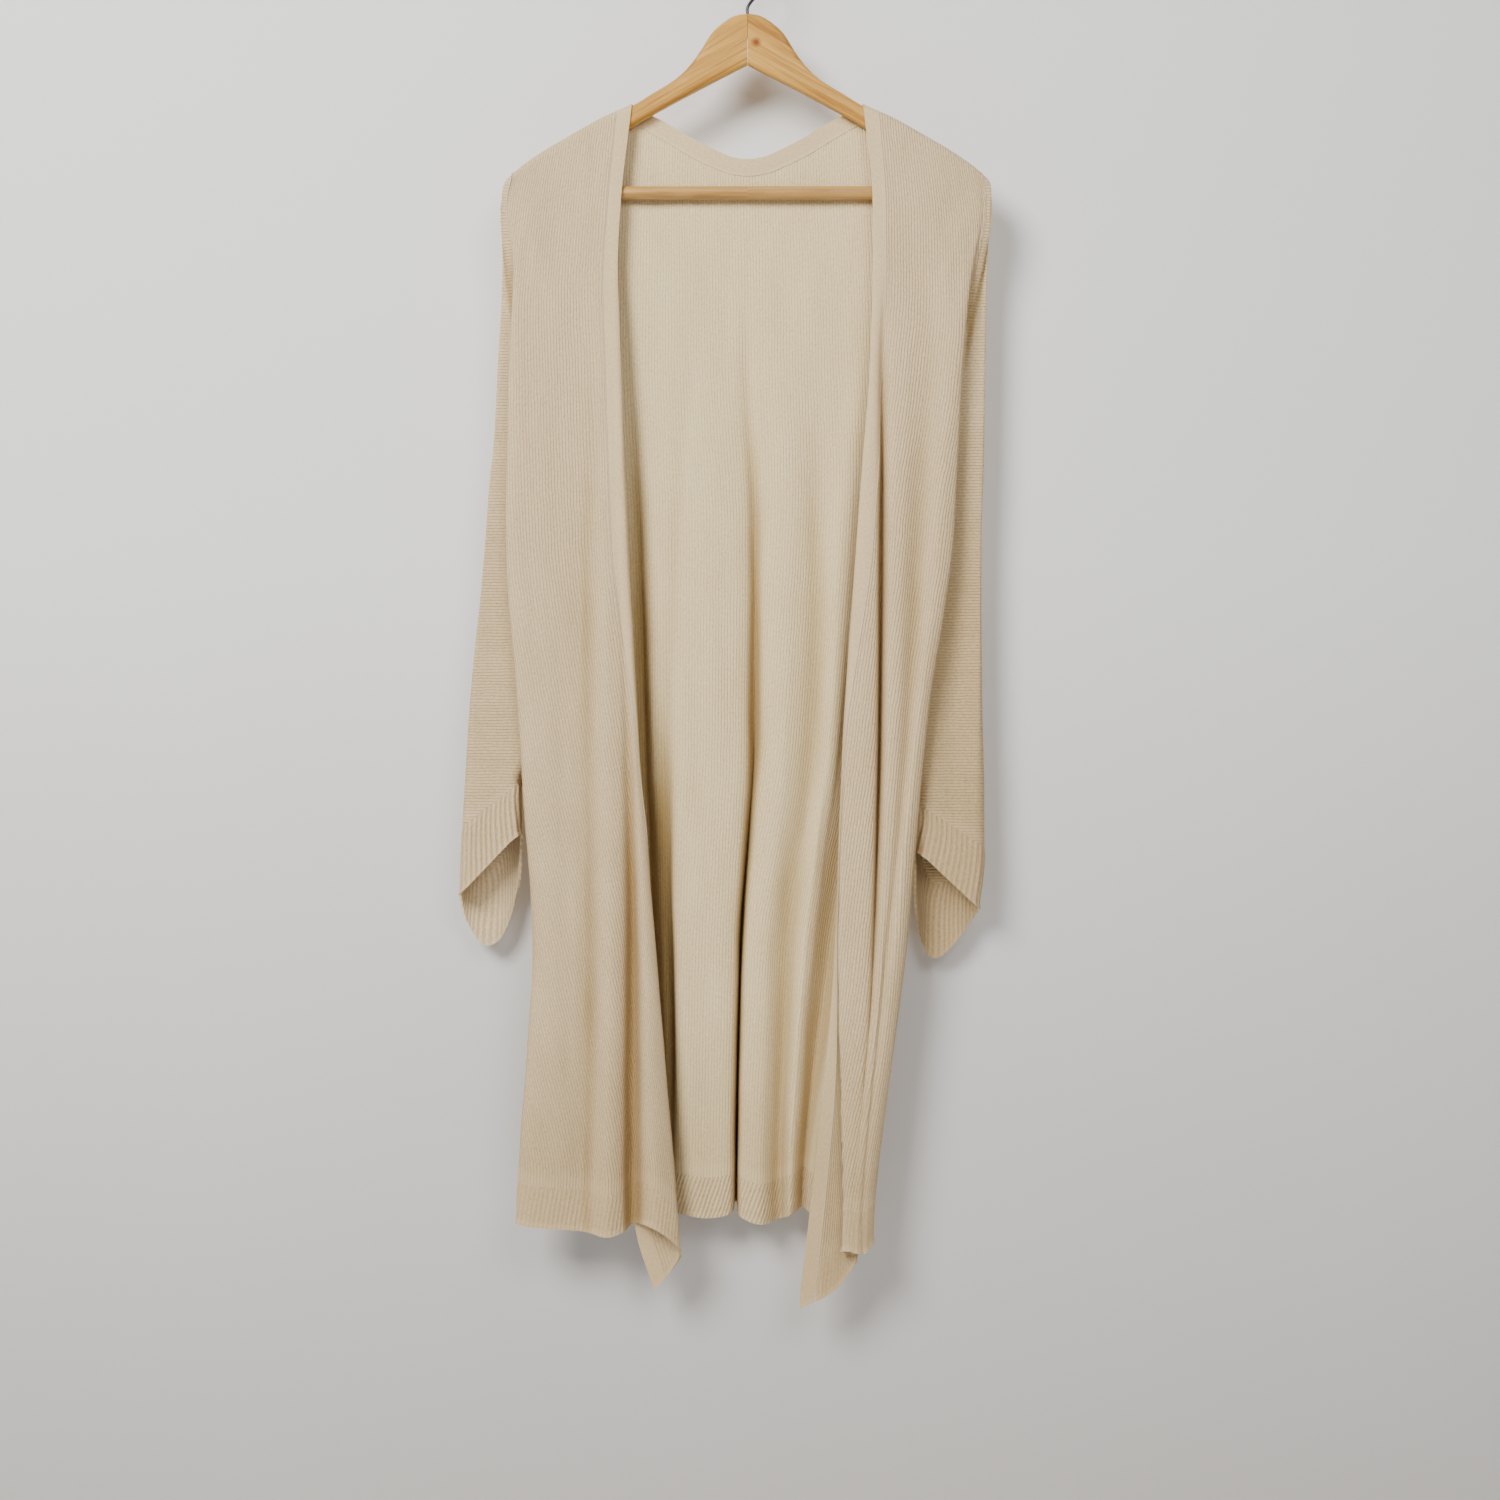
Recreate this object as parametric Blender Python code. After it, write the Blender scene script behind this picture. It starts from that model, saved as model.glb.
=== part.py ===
"""A long open kimono jacket in fine knit, hanging on a wooden hanger.

Metres, +Z up. The origin is the inside top of the hook, where a rail would carry the hanger.
+X is the wearer's left, and the open front faces -Y.
The tables below are in millimetres.
"""

import math
from collections import namedtuple

import bmesh
import bpy
import numpy as np

MM = 0.001
WALL = 1.2
SEAM_GAP = 0.3
# Edges that turn by more than this look sharp.
CLOTH_SHARP_ANGLE = math.radians(50)
ROD_SHARP_ANGLE = math.radians(40)

# Colour, roughness and metallic value of each material.
FINE_KNIT = ((0.66, 0.58, 0.44), 0.85, 0.0)
RIB_KNIT = ((0.64, 0.56, 0.42), 0.88, 0.0)
BAND_KNIT = ((0.69, 0.61, 0.47), 0.85, 0.0)
PALE_WOOD = ((0.62, 0.40, 0.18), 0.38, 0.0)
BLACK_WIRE = ((0.015, 0.015, 0.015), 0.35, 0.6)

# Hanger: two arms cut from one board, a round bar between them and a wire hook.
ARM_THICK = 13.0
ARM_EDGE_ROUND = 5.0
BAR_DIAMETER = 12.0
BAR_HEIGHT = -226.0
BAR_HALF_LENGTH = 206.0
BAR_SOCKET_PLAY = 0.3
WIRE_DIAMETER = 3.0
HOOK_INSIDE_RADIUS = 18.0
# Middle line of the wire from its end in the wood to the round: x, z.
HOOK_STEM = ((0, -82), (0, -70), (0, -60), (0, -54), (3.5, -48), (9, -42))
HOOK_ROUND_FROM = -50
HOOK_ROUND_TO = 205
HOOK_ROUND_STEPS = 18
STEM_HOLE_END = -84.0
STEM_CUTTER_LENGTH = 60.0
BAR_SIDES = 20
STEM_HOLE_SIDES = 16
# Upper edge of one arm, from the middle of the hanger out to the shoulder: x, z.
ARM_TOP_INNER = ((0, -60), (12, -62), (26, -71), (34, -79), (44, -95), (53.5, -108), (67, -121))
ARM_TOP_OUTER = (
    (88, -134), (107, -145.6), (135, -158.5), (161, -173), (193, -192), (214, -207.5), (221, -214.5),
)
ARM_TIP = ((224, -222), (222.5, -231), (214, -238))
ARM_UNDER = ((203, -235.5), (185, -222), (150, -195.5), (114, -169), (67, -142), (0, -107))

# Cloth over the arm: how far its middle surface stands off the wood, square to the slope.
REST_GAP = 0.6
ARM_SLOPE = math.radians(30.0)

# Body of the jacket.
BAND_WIDTH = 16.0
HEM_RIB_HEIGHT = 38.0
HEM_RIB_PITCH = 4.2
HEM_RIB_RISE = 0.5
UNDERARM = -560.0
BODY_ROWS = 17
# From this fold on, a front's columns go by length along the cloth, so that its band keeps its width.
FREE_FROM = 7
FREE_COLUMNS_RIGHT = 10
FREE_COLUMNS_LEFT = 24
BAND_COLUMNS = 3
# Points between two folds along which a section's length is measured.
SECTION_STEPS = 8
# A column of the flat part of a front, which shows which way its normals point.
FLAT_COLUMN = 10
# The cloth's turn over the arm runs into the folds at least this far above their first height.
TURN_CLEARANCE = 20
# Below the underarm the back's edge comes to the front's edge, starting this far down, over this height.
JOIN_START = 2
JOIN_OVER = 30
NECK_HALF_WIDTH = 107.0
# Free edge of the back neck and the seam under its band: x, z.
NECK_EDGE = ((0, -192.5), (12, -191), (29, -184.5), (48, -175), (67, -164), (80, -156.5), (94, -150))
NECK_SEAM = ((0, -208.5), (14, -207), (36, -199), (56, -189), (75, -177.5), (90, -168.5), (106, -160))

NECK_TURN_SHARES = (0, 0.006, 0.018, 0.034)
NECK_COLUMNS = 20
NECK_LINE_POINTS = 121
NECK_ROW_SHARES = (0.0, 0.5, 1.0)
# The sleeve's edge goes from beside the front's edge to behind it below this height.
STACK_FROM = -238
STACK_OVER = 60
STACK_BEHIND = WALL + 1.5 * SEAM_GAP
ARMHOLE_BLEND = 2.6
# The rounded inner end of each sleeve ring: its angles, and how far up the armhole each comes.
UNDERARM_ANGLES = tuple(math.radians(a) for a in (90, 60, 30, 0))
UNDERARM_TURN = (9, 4.5, 1.2, 0)

# Each fold is one line down the cloth. top is its x on the shoulder, x and y are its places at
# HEIGHTS, and hem is where the cloth ends along it.
HEIGHTS = (-240, -300, -380, -540, -730, -940, -1180, -1250)
Fold = namedtuple("Fold", "name hem top x y")

FRONT_RIGHT = (
    Fold("side seam", -1172, -217,
         (-223, -214, -204, -186, -176, -166, -152, -150),
         (-7.4, -3, 0, 3, 4, 4, 4, 4)),
    Fold("behind turn", -1178, -215,
         (-223, -215, -215, -217, -205, -193, -206, -206),
         (-7.6, -6, -6, -5, -5, -6, -8, -8)),
    Fold("turn", -1181, -212.5,
         (-222, -216.5, -220, -223, -211, -199.5, -213, -213),
         (-8, -8.5, -10, -10, -10, -11, -13, -13)),
    Fold("before turn", -1183, -209,
         (-218, -214, -215, -217, -204, -193, -206, -206),
         (-8.5, -10.5, -14, -15, -15, -16, -18, -18)),
    Fold("side ridge", -1185, -197,
         (-204, -202, -200, -198, -187, -178, -185, -185),
         (-8.6, -10, -13, -16, -17, -18, -20, -20)),
    Fold("side flat", -1187, -172,
         (-178, -178, -176, -172, -166, -161, -166, -166),
         (-8.6, -9, -11, -13, -14, -14, -16, -16)),
    Fold("soft valley", -1190, -150,
         (-151, -150, -143, -149, -148, -145, -148, -148),
         (-8.8, -8.8, -9.5, -10, -10, -10, -12, -12)),
    Fold("middle ridge", -1193, -140,
         (-142, -141, -136, -133, -130, -127, -129, -129),
         (-8.8, -9.4, -12, -16, -18, -19, -21, -21)),
    Fold("groove lip", -1190, -133,
         (-132, -134, -130, -125, -118, -116, -117, -117),
         (-9, -9.6, -12.5, -16, -16, -14, -15, -15)),
    Fold("groove", -1185, -126,
         (-126, -129, -125, -120.5, -111, -107, -108, -108),
         (-9, -9.5, -12.5, -15.5, -11, -1, 0, 0)),
    Fold("inner ridge", -1184, -118,
         (-122, -124.5, -121, -116, -105.5, -94, -88, -86),
         (-9, -9.6, -13, -16, -15, -17, -19, -19)),
    Fold("roll", -1208, -109,
         (-118.4, -121.2, -118.4, -112.8, -101.6, -84.5, -65, -62),
         (-8.8, -9.5, -12.5, -15, -14, -13, -13, -12)),
    Fold("behind roll", -1226, -108,
         (-118, -120.8, -118, -112.4, -101.4, -87, -74, -67),
         (-8.8, -9.3, -12, -14, -12.5, -7, -4, -4)),
    Fold("free edge", -1247, -107,
         (-117.7, -120.5, -117.7, -112, -101.2, -94, -105, -86),
         (-8.7, -9.1, -11.5, -13, -11, -3, 1, -1)),
)

FRONT_LEFT = (
    Fold("side seam", -1178, 217,
         (221, 211, 190, 160, 130, 95, 60, 58),
         (-7.4, -3, 1, 3, 4, 5, 6, 6)),
    Fold("behind turn", -1190, 215,
         (218.5, 208, 194, 186, 160, 140, 111, 110),
         (-7.6, -6, -6, -5, -5, -5, -5, -5)),
    Fold("turn", -1200, 212.5,
         (217, 208, 199, 191, 165, 145.5, 117, 115),
         (-8, -8.5, -10, -10, -10, -10, -12, -12)),
    Fold("before turn", -1204, 209,
         (214, 204, 194, 186, 161, 140, 112, 110),
         (-8.5, -10.5, -14, -15, -15, -16, -18.5, -18.5)),
    Fold("side ridge", -1208, 197,
         (200, 194, 186, 177, 156, 134, 109, 108),
         (-8.6, -10, -14, -17, -17, -18, -19.5, -20)),
    Fold("soft valley", -1208, 176,
         (178, 174, 166, 157, 148, 128, 106, 105),
         (-8.6, -9, -10, -9, -11, -15, -18.5, -19)),
    Fold("middle ridge", -1208, 158,
         (158, 152, 146, 142, 138, 124, 103.5, 102.5),
         (-8.8, -9.6, -13, -17, -18, -18, -19.5, -20)),
    Fold("groove lip", -1208, 144,
         (138, 134, 132, 131.5, 129.5, 120, 101, 100),
         (-8.8, -9.6, -12, -16, -17, -16, -19.5, -20)),
    Fold("groove", -1208, 138,
         (132, 129, 125, 124, 122, 116, 99, 98),
         (-8.8, -9.3, -7, -2, -1, -9, -19, -19.5)),
    Fold("inner lip", -1207, 133,
         (128, 125, 121, 119.5, 117, 112, 97, 96),
         (-8.8, -9.6, -12, -15, -16, -16, -19, -19.5)),
    Fold("inner ridge", -1206, 126,
         (123, 121.5, 118, 112, 106, 101, 94.5, 93.5),
         (-8.8, -9.8, -13, -17, -18, -18, -19, -19.5)),
    Fold("before pleat", -1206, 115,
         (119.5, 119, 116.4, 106.5, 94.5, 87, 91, 91),
         (-8.8, -9.7, -12.9, -16.4, -16.8, -16.6, -18.6, -19)),
    Fold("pleat fold", -1207, 112,
         (118, 118, 115.6, 104.5, 92, 84, 88.4, 88.4),
         (-8.8, -9.6, -12.8, -16, -16, -15, -16.8, -17)),
    Fold("behind pleat", -1209, 111,
         (117.7, 117.7, 115.3, 104.1, 91.5, 84, 90.6, 90.6),
         (-8.8, -9.5, -12.6, -15.7, -15.4, -13.4, -14.6, -14.8)),
    Fold("before inner turn", -1213, 110,
         (117.4, 117.4, 115, 103.8, 91.1, 84.4, 99, 99),
         (-8.8, -9.4, -12.4, -15.4, -14.8, -11.8, -12.9, -13)),
    Fold("inner turn", -1217, 109.4,
         (117.1, 117.1, 114.7, 103.5, 90.7, 84.6, 102, 102),
         (-8.8, -9.3, -12.2, -15.1, -14.3, -10.2, -10.8, -10.8)),
    Fold("after inner turn", -1222, 108.8,
         (116.8, 116.8, 114.4, 103.2, 90.3, 84.1, 99, 99),
         (-8.7, -9.2, -12, -14.8, -13.8, -8.7, -8.4, -8.4)),
    Fold("tail", -1247, 108,
         (116.5, 116.5, 114.1, 102.8, 89.8, 82.8, 82, 79),
         (-8.7, -9.2, -11.7, -14.4, -13, -6.8, -6, -6)),
    Fold("free edge", -1263, 107,
         (116, 116, 113.6, 102, 89, 80.5, 57, 48.5),
         (-8.6, -9, -11, -13.5, -12, -5, -5, -5)),
)

BACK = (
    Fold("right seam", -1172, -217,
         (-223, -214, -204, -186, -176, -166, -152, -150),
         (7.4, 11, 15, 10, 4, 4, 4, 4)),
    Fold("right side", -1174, -200,
         (-206, -198, -188, -170, -161, -154, -141, -140),
         (8.6, 13, 18, 20, 16, 20, 24, 24)),
    Fold("hidden valley", -1176, -180,
         (-182, -176, -166, -150, -142, -136, -128, -128),
         (9, 13, 18, 26, 32, 40, 42, 42)),
    Fold("hidden ridge", -1172, -156,
         (-158, -152, -144, -130, -122, -116, -110, -110),
         (9, 11, 13, 15, 16, 17, 18, 18)),
    Fold("deep valley", -1176, -123,
         (-125, -118, -110, -102, -97, -92, -87, -87),
         (9, 11, 15, 24, 33, 42, 46, 46)),
    Fold("right neck", -1177, -120.4,
         (-120, -113, -105, -97.5, -93, -89, -83, -83),
         (9, 10.6, 13.6, 20, 27, 34, 37, 37)),
    Fold("right neck side", -1178, -115,
         (-113, -106, -97, -90, -88, -85, -78, -78),
         (9, 10, 11.6, 15, 19, 23, 24, 24)),
    Fold("column edge", -1179, -76,
         (-76, -70, -62, -65, -72, -70, -61, -61),
         (9, 9, 9, 10, 11, 11, 10, 10)),
    Fold("column face", -1182, -36,
         (-38, -36, -34, -36, -40, -41, -37, -37),
         (9, 9, 8.5, 6.5, 6, 7, 8, 8)),
    Fold("gap right", -1179, -12,
         (-12, -11, -10, -2, -3, -13, -16.5, -16.5),
         (9, 9, 9.5, 11, 12, 10, 10, 10)),
    Fold("middle gap", -1174, 0,
         (0, 0, 0, 7, 6, -7, -11, -11),
         (9, 9.5, 12, 19, 28, 40, 43, 43)),
    Fold("gap left", -1182, 12,
         (12, 12, 11, 16, 15, -1, -5.5, -5.5),
         (9, 9, 9.5, 11, 12, 11, 11, 11)),
    Fold("left face", -1188, 38,
         (38, 38, 38, 38, 34, 18, 12, 12),
         (9, 9, 8.5, 7, 6, 6.5, 7, 7)),
    Fold("left shallow", -1186, 66,
         (66, 67, 68, 68, 62, 38, 30, 30),
         (9, 9, 10, 14, 17, 20, 24, 24)),
    Fold("left ridge", -1180, 96,
         (98, 98, 94, 86, 77, 52, 39, 39),
         (9, 9.5, 10, 9, 8, 8, 9, 9)),
    Fold("left neck side", -1179, 115,
         (113, 111, 106, 95, 83, 57, 42.5, 42.5),
         (9, 9.7, 11, 11, 10.5, 10.5, 11.5, 11.5)),
    Fold("left neck", -1178, 120.4,
         (120, 117, 112, 99, 86, 60.5, 44.5, 44.5),
         (9, 10, 12, 13.5, 13.5, 14, 15, 15)),
    Fold("left corner", -1177, 123,
         (125, 122, 116, 103, 89, 63.5, 46.5, 46.5),
         (9, 10.4, 13, 16, 17, 18, 19, 19)),
    Fold("left side", -1175, 160,
         (162, 156, 146, 124, 106, 76, 51, 51),
         (9, 12, 16, 22, 24, 26, 26, 26)),
    Fold("left seam", -1178, 217,
         (221, 211, 190, 160, 130, 95, 60, 58),
         (7.4, 11, 15, 10, 4, 4, 5, 5)),
)

# Sleeve rings from the armhole to the end of the cuff. over and under are the outer and inner
# ends of the flattened ring, drop is how far its back half hangs lower, lean is where it does most,
# and the smaller blunt is, the flatter the bottom of that sag.
Ring = namedtuple("Ring", "over_x over_z under_x under_z drop lean blunt")
SLEEVE_RIGHT = (
    Ring(-217.4, -209.5, -184, -560, 0, 1.0, 0.7),
    Ring(-226.2, -222, -187, -590, 0, 1.0, 0.7),
    Ring(-228.5, -300, -190, -640, 2, 1.0, 0.7),
    Ring(-233, -400, -194, -690, 10, 1.0, 0.7),
    Ring(-246, -560, -201, -730, 24, 1.0, 0.7),
    Ring(-259, -700, -208, -762, 42, 1.0, 0.7),
    Ring(-266, -816, -213, -776, 58, 1.15, 0.6),
    Ring(-268, -880, -213, -822, 79, 1.35, 0.4),
)
SLEEVE_LEFT = (
    Ring(217.4, -209.5, 157, -560, 0, 1.0, 0.7),
    Ring(225.2, -222, 158, -590, 0, 1.0, 0.7),
    Ring(223.5, -300, 160, -640, 2, 1.0, 0.7),
    Ring(221.5, -400, 162, -690, 10, 1.1, 0.7),
    Ring(219, -560, 161, -735, 26, 1.3, 0.7),
    Ring(219.5, -700, 159, -775, 46, 1.6, 0.7),
    Ring(221, -835, 158, -795, 64, 2.1, 0.55),
    Ring(216, -893, 158, -838, 88, 2.6, 0.32),
)
# How far back the sleeve hangs, by height: height, middle y, half depth.
SLEEVE_DEPTH = (
    (-200, 0, 8.4), (-240, 0.3, 8.4), (-290, 9, 6.3), (-340, 12, 5.6), (-600, 13.5, 6.5),
    (-700, 14, 9), (-800, 14, 12), (-850, 13, 13.5), (-950, 13, 14.5),
)
SLEEVE_STEPS = 2
# The rounded ends of a ring take this share of its half depth, and at most a quarter of its length.
RING_TURN_SHARE = 0.8
RING_TURN_LIMIT = 0.25
CUFF_RIB_PITCH = 5.8
CUFF_RIB_RISE = 0.8

ARCH_FLAT = ARM_THICK / 2 - ARM_EDGE_ROUND
ARCH_RADIUS = ARM_EDGE_ROUND + REST_GAP + WALL / 2
ARCH_DROP = ARCH_RADIUS / math.cos(ARM_SLOPE)
ARCH_DEPTH = ARCH_FLAT + ARCH_RADIUS
ARCH_TURNS = tuple(math.radians(a) for a in (0, 32, 62, 90))
UNDERARM_ROW = 7


def remove_all():
    for obj in list(bpy.data.objects):
        bpy.data.objects.remove(obj, do_unlink=True)


def material(name, values):
    colour, roughness, metallic = values
    made = bpy.data.materials.new(name)
    made.use_nodes = True
    shader = made.node_tree.nodes["Principled BSDF"]
    shader.inputs["Base Color"].default_value = (*colour, 1.0)
    shader.inputs["Roughness"].default_value = roughness
    shader.inputs["Metallic"].default_value = metallic
    made.diffuse_color = (*colour, 1.0)
    return made


def steady(at, stations, values):
    """A smooth curve through rising stations that never overshoots their values."""
    x = np.asarray(stations, float)
    v = np.asarray(values, float)
    step = np.diff(x)
    rise = np.diff(v) / step
    slope = np.zeros(len(x))
    for i in range(1, len(x) - 1):
        if rise[i - 1] * rise[i] > 0:
            a = 2 * step[i] + step[i - 1]
            b = step[i] + 2 * step[i - 1]
            slope[i] = (a + b) / (a / rise[i - 1] + b / rise[i])
    slope[0] = rise[0]
    slope[-1] = rise[-1]
    at = min(max(at, x[0]), x[-1])
    k = min(max(int(np.searchsorted(x, at, side="right")) - 1, 0), len(step) - 1)
    t = (at - x[k]) / step[k]
    return float(
        v[k] * (1 + 2 * t) * (1 - t) ** 2
        + slope[k] * step[k] * t * (1 - t) ** 2
        + v[k + 1] * t * t * (3 - 2 * t)
        + slope[k + 1] * step[k] * t * t * (t - 1)
    )


def ease(t):
    t = min(max(t, 0.0), 1.0)
    return t * t * (3 - 2 * t)


def table_curve(points, at):
    return steady(at, [p[0] for p in points], [p[1] for p in points])


def by_height(table, z, column):
    """A value of a table whose first column is a falling height."""
    return steady(-z, [-row[0] for row in table], [row[column] for row in table])


def shoulder(x):
    """Height of the cloth's middle surface along the shoulder line, resting on the arm."""
    outer = ARM_TOP_INNER[-1:] + ARM_TOP_OUTER + ARM_TIP[:1]
    x = abs(x)
    slope = table_curve(outer, x - 1) - table_curve(outer, x + 1)
    off = (REST_GAP + WALL / 2) * math.hypot(1, slope / 2)
    return table_curve(outer, x) + off


def arch_depth(drop):
    """Distance of the cloth from the middle of the arm, a given height below the shoulder line."""
    if drop >= ARCH_DROP:
        return ARCH_DEPTH
    return ARCH_FLAT + ARCH_RADIUS * math.sqrt(max(0.0, 1 - (1 - drop / ARCH_DROP) ** 2))


def neck_curve(table, end_x):
    """A neck table as one line from side to side, both ends on the shoulder line."""
    points = list(table) + [(end_x, shoulder(end_x))]
    return [(-x, z) for x, z in points[:0:-1]] + points


def back_top(x):
    """Top of the back panel: the shoulder line outside the neck, the band's seam inside it."""
    end = NECK_HALF_WIDTH + BAND_WIDTH
    if abs(x) >= end:
        return shoulder(x)
    return table_curve(neck_curve(NECK_SEAM, end), x)


def back_depth(x, z):
    """Depth of the back near its top, where it comes over the arms."""
    drop = shoulder(max(abs(x), ARM_TOP_OUTER[0][0])) - z
    return max(arch_depth(max(drop, 0.0)), SEAM_GAP / 2)


def fold_point(fold, z, top_z, face):
    """A point of one fold line. face is -1 for the fronts and 1 for the back."""
    start = max(top_z - ARCH_DROP, HEIGHTS[0] + TURN_CLEARANCE)
    y = steady(-z, [-h for h in (start, *HEIGHTS)], (face * ARCH_DEPTH, *fold.y))
    x = steady(-z, [-h for h in (top_z, *HEIGHTS)], (fold.top, *fold.x))
    return np.array((x, y, z))


def curve_through(points, steps):
    """A centripetal curve through the points; returns the dense points and where each knot is."""
    points = [np.asarray(p, float) for p in points]
    ends = [2 * points[0] - points[1]] + points + [2 * points[-1] - points[-2]]
    dense = [points[0]]
    knots = [0]
    for i in range(1, len(ends) - 2):
        p = ends[i - 1:i + 3]
        t = [0.0]
        for a, b in zip(p, p[1:]):
            t.append(t[-1] + max(np.linalg.norm(b - a), 1e-3) ** 0.5)
        for s in range(1, steps + 1):
            at = t[1] + (t[2] - t[1]) * s / steps
            a1 = p[0] + (p[1] - p[0]) * (at - t[0]) / (t[1] - t[0])
            a2 = p[1] + (p[2] - p[1]) * (at - t[1]) / (t[2] - t[1])
            a3 = p[2] + (p[3] - p[2]) * (at - t[2]) / (t[3] - t[2])
            b1 = a1 + (a2 - a1) * (at - t[0]) / (t[2] - t[0])
            b2 = a2 + (a3 - a2) * (at - t[1]) / (t[3] - t[1])
            dense.append(b1 + (b2 - b1) * (at - t[1]) / (t[2] - t[1]))
        knots.append(len(dense) - 1)
    return np.array(dense), knots


def lengths_along(points):
    return np.concatenate([[0], np.cumsum(np.linalg.norm(np.diff(points, axis=0), axis=1))])


def along(points, lengths, at):
    return np.array([np.interp(at, lengths, points[:, k]) for k in range(3)])


def section_columns(points, free_from, free_columns, band_columns):
    """Columns of one section: on the folds as far as free_from, then by length to the band."""
    dense, knots = curve_through(points, SECTION_STEPS)
    lengths = lengths_along(dense)
    marks = []
    for i in range(free_from):
        a, b = lengths[knots[i]], lengths[knots[i + 1]]
        marks += [a, (a + b) / 2]
    start = lengths[knots[free_from]]
    end = lengths[-1]
    if band_columns:
        seam = end - BAND_WIDTH
        marks += [start + (seam - start) * s / free_columns for s in range(free_columns)]
        marks += [seam + BAND_WIDTH * s / band_columns for s in range(band_columns + 1)]
    else:
        marks.append(end)
    return [along(dense, lengths, m) for m in marks]


def row_heights(fold, top):
    """Heights of every row down one fold: the shoulder's turn, the body, then the hem rib."""
    start = top - ARCH_DROP
    rib = fold.hem + HEM_RIB_HEIGHT
    heights = [top] + [top - ARCH_DROP * (1 - math.cos(a)) for a in ARCH_TURNS]
    heights += [start + (UNDERARM - start) * r / UNDERARM_ROW for r in range(1, UNDERARM_ROW + 1)]
    below = BODY_ROWS - UNDERARM_ROW
    heights += [UNDERARM + (rib - UNDERARM) * r / below for r in range(1, below + 1)]
    return heights + [fold.hem]


def panel_grid(folds, top_of, face, free_from, free_columns, band_columns):
    """Points of a panel's middle surface, rows from the shoulder down."""
    columns = [row_heights(fold, top_of(fold.top)) for fold in folds]
    grid = []
    for r in range(len(columns[0])):
        points = [
            fold_point(fold, heights[r], top_of(fold.top), face)
            for fold, heights in zip(folds, columns)
        ]
        if face > 0:
            points[0] = join_back_seam(points[0], FRONT_RIGHT, -1)
            points[-1] = join_back_seam(points[-1], FRONT_LEFT, 1)
        grid.append(section_columns(points, free_from, free_columns, band_columns))
    grid = np.array(grid)
    for r in range(len(ARCH_TURNS) + 1):
        turn = ARCH_TURNS[max(r - 1, 0)]
        for point in grid[r]:
            x = point[0]
            if abs(x) >= NECK_HALF_WIDTH + BAND_WIDTH or face < 0:
                point[2] = top_of(x) - ARCH_DROP * (1 - math.cos(turn))
                depth = SEAM_GAP / 2 if r == 0 else ARCH_FLAT + ARCH_RADIUS * math.sin(turn)
            else:
                point[2] = top_of(x) - ARCH_DROP * r / len(ARCH_TURNS)
                depth = back_depth(x, point[2])
            point[1] = face * depth
    return grid


def join_back_seam(point, front_folds, side):
    """Below the underarm the back's side edge comes to the front's side edge."""
    share = ease((UNDERARM - JOIN_START - point[2]) / JOIN_OVER)
    top = shoulder(front_folds[0].top)
    target = fold_point(front_folds[0], point[2], top, -1)
    target = target - np.array((side * SEAM_GAP / 2, 0.0, 0.0))
    return point + (target - point) * share


def grid_normals(grid, closed_columns=False):
    """Unit normals of a grid of points, rows by columns."""
    if closed_columns:
        across = np.roll(grid, -1, axis=1) - np.roll(grid, 1, axis=1)
    else:
        across = np.gradient(grid, axis=1)
    down = np.gradient(grid, axis=0)
    n = np.cross(across, down)
    return n / np.maximum(np.linalg.norm(n, axis=2, keepdims=True), 1e-9)


def draw_in(grid, axis, index, distance):
    """Draws one edge row or column of a grid back along the cloth."""
    edge = [slice(None)] * 3
    inner = [slice(None)] * 3
    edge[axis] = index
    inner[axis] = 1 if index == 0 else -2
    step = grid[tuple(inner)] - grid[tuple(edge)]
    length = np.maximum(np.linalg.norm(step, axis=1, keepdims=True), 1e-6)
    grid[tuple(edge)] += step / length * distance


def add_object(name, verts, faces, finish, smooth=True):
    mesh = bpy.data.meshes.new(name)
    mesh.from_pydata([tuple(float(c) * MM for c in v) for v in verts], [], faces)
    bm = bmesh.new()
    bm.from_mesh(mesh)
    bmesh.ops.recalc_face_normals(bm, faces=bm.faces)
    if bm.calc_volume(signed=True) < 0:
        bmesh.ops.reverse_faces(bm, faces=bm.faces)
    bm.to_mesh(mesh)
    bm.free()
    obj = bpy.data.objects.new(name, mesh)
    bpy.context.scene.collection.objects.link(obj)
    mesh.materials.append(finish)
    if smooth:
        mesh.shade_smooth()
        mesh.set_sharp_from_angle(angle=CLOTH_SHARP_ANGLE)
    return obj


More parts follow.
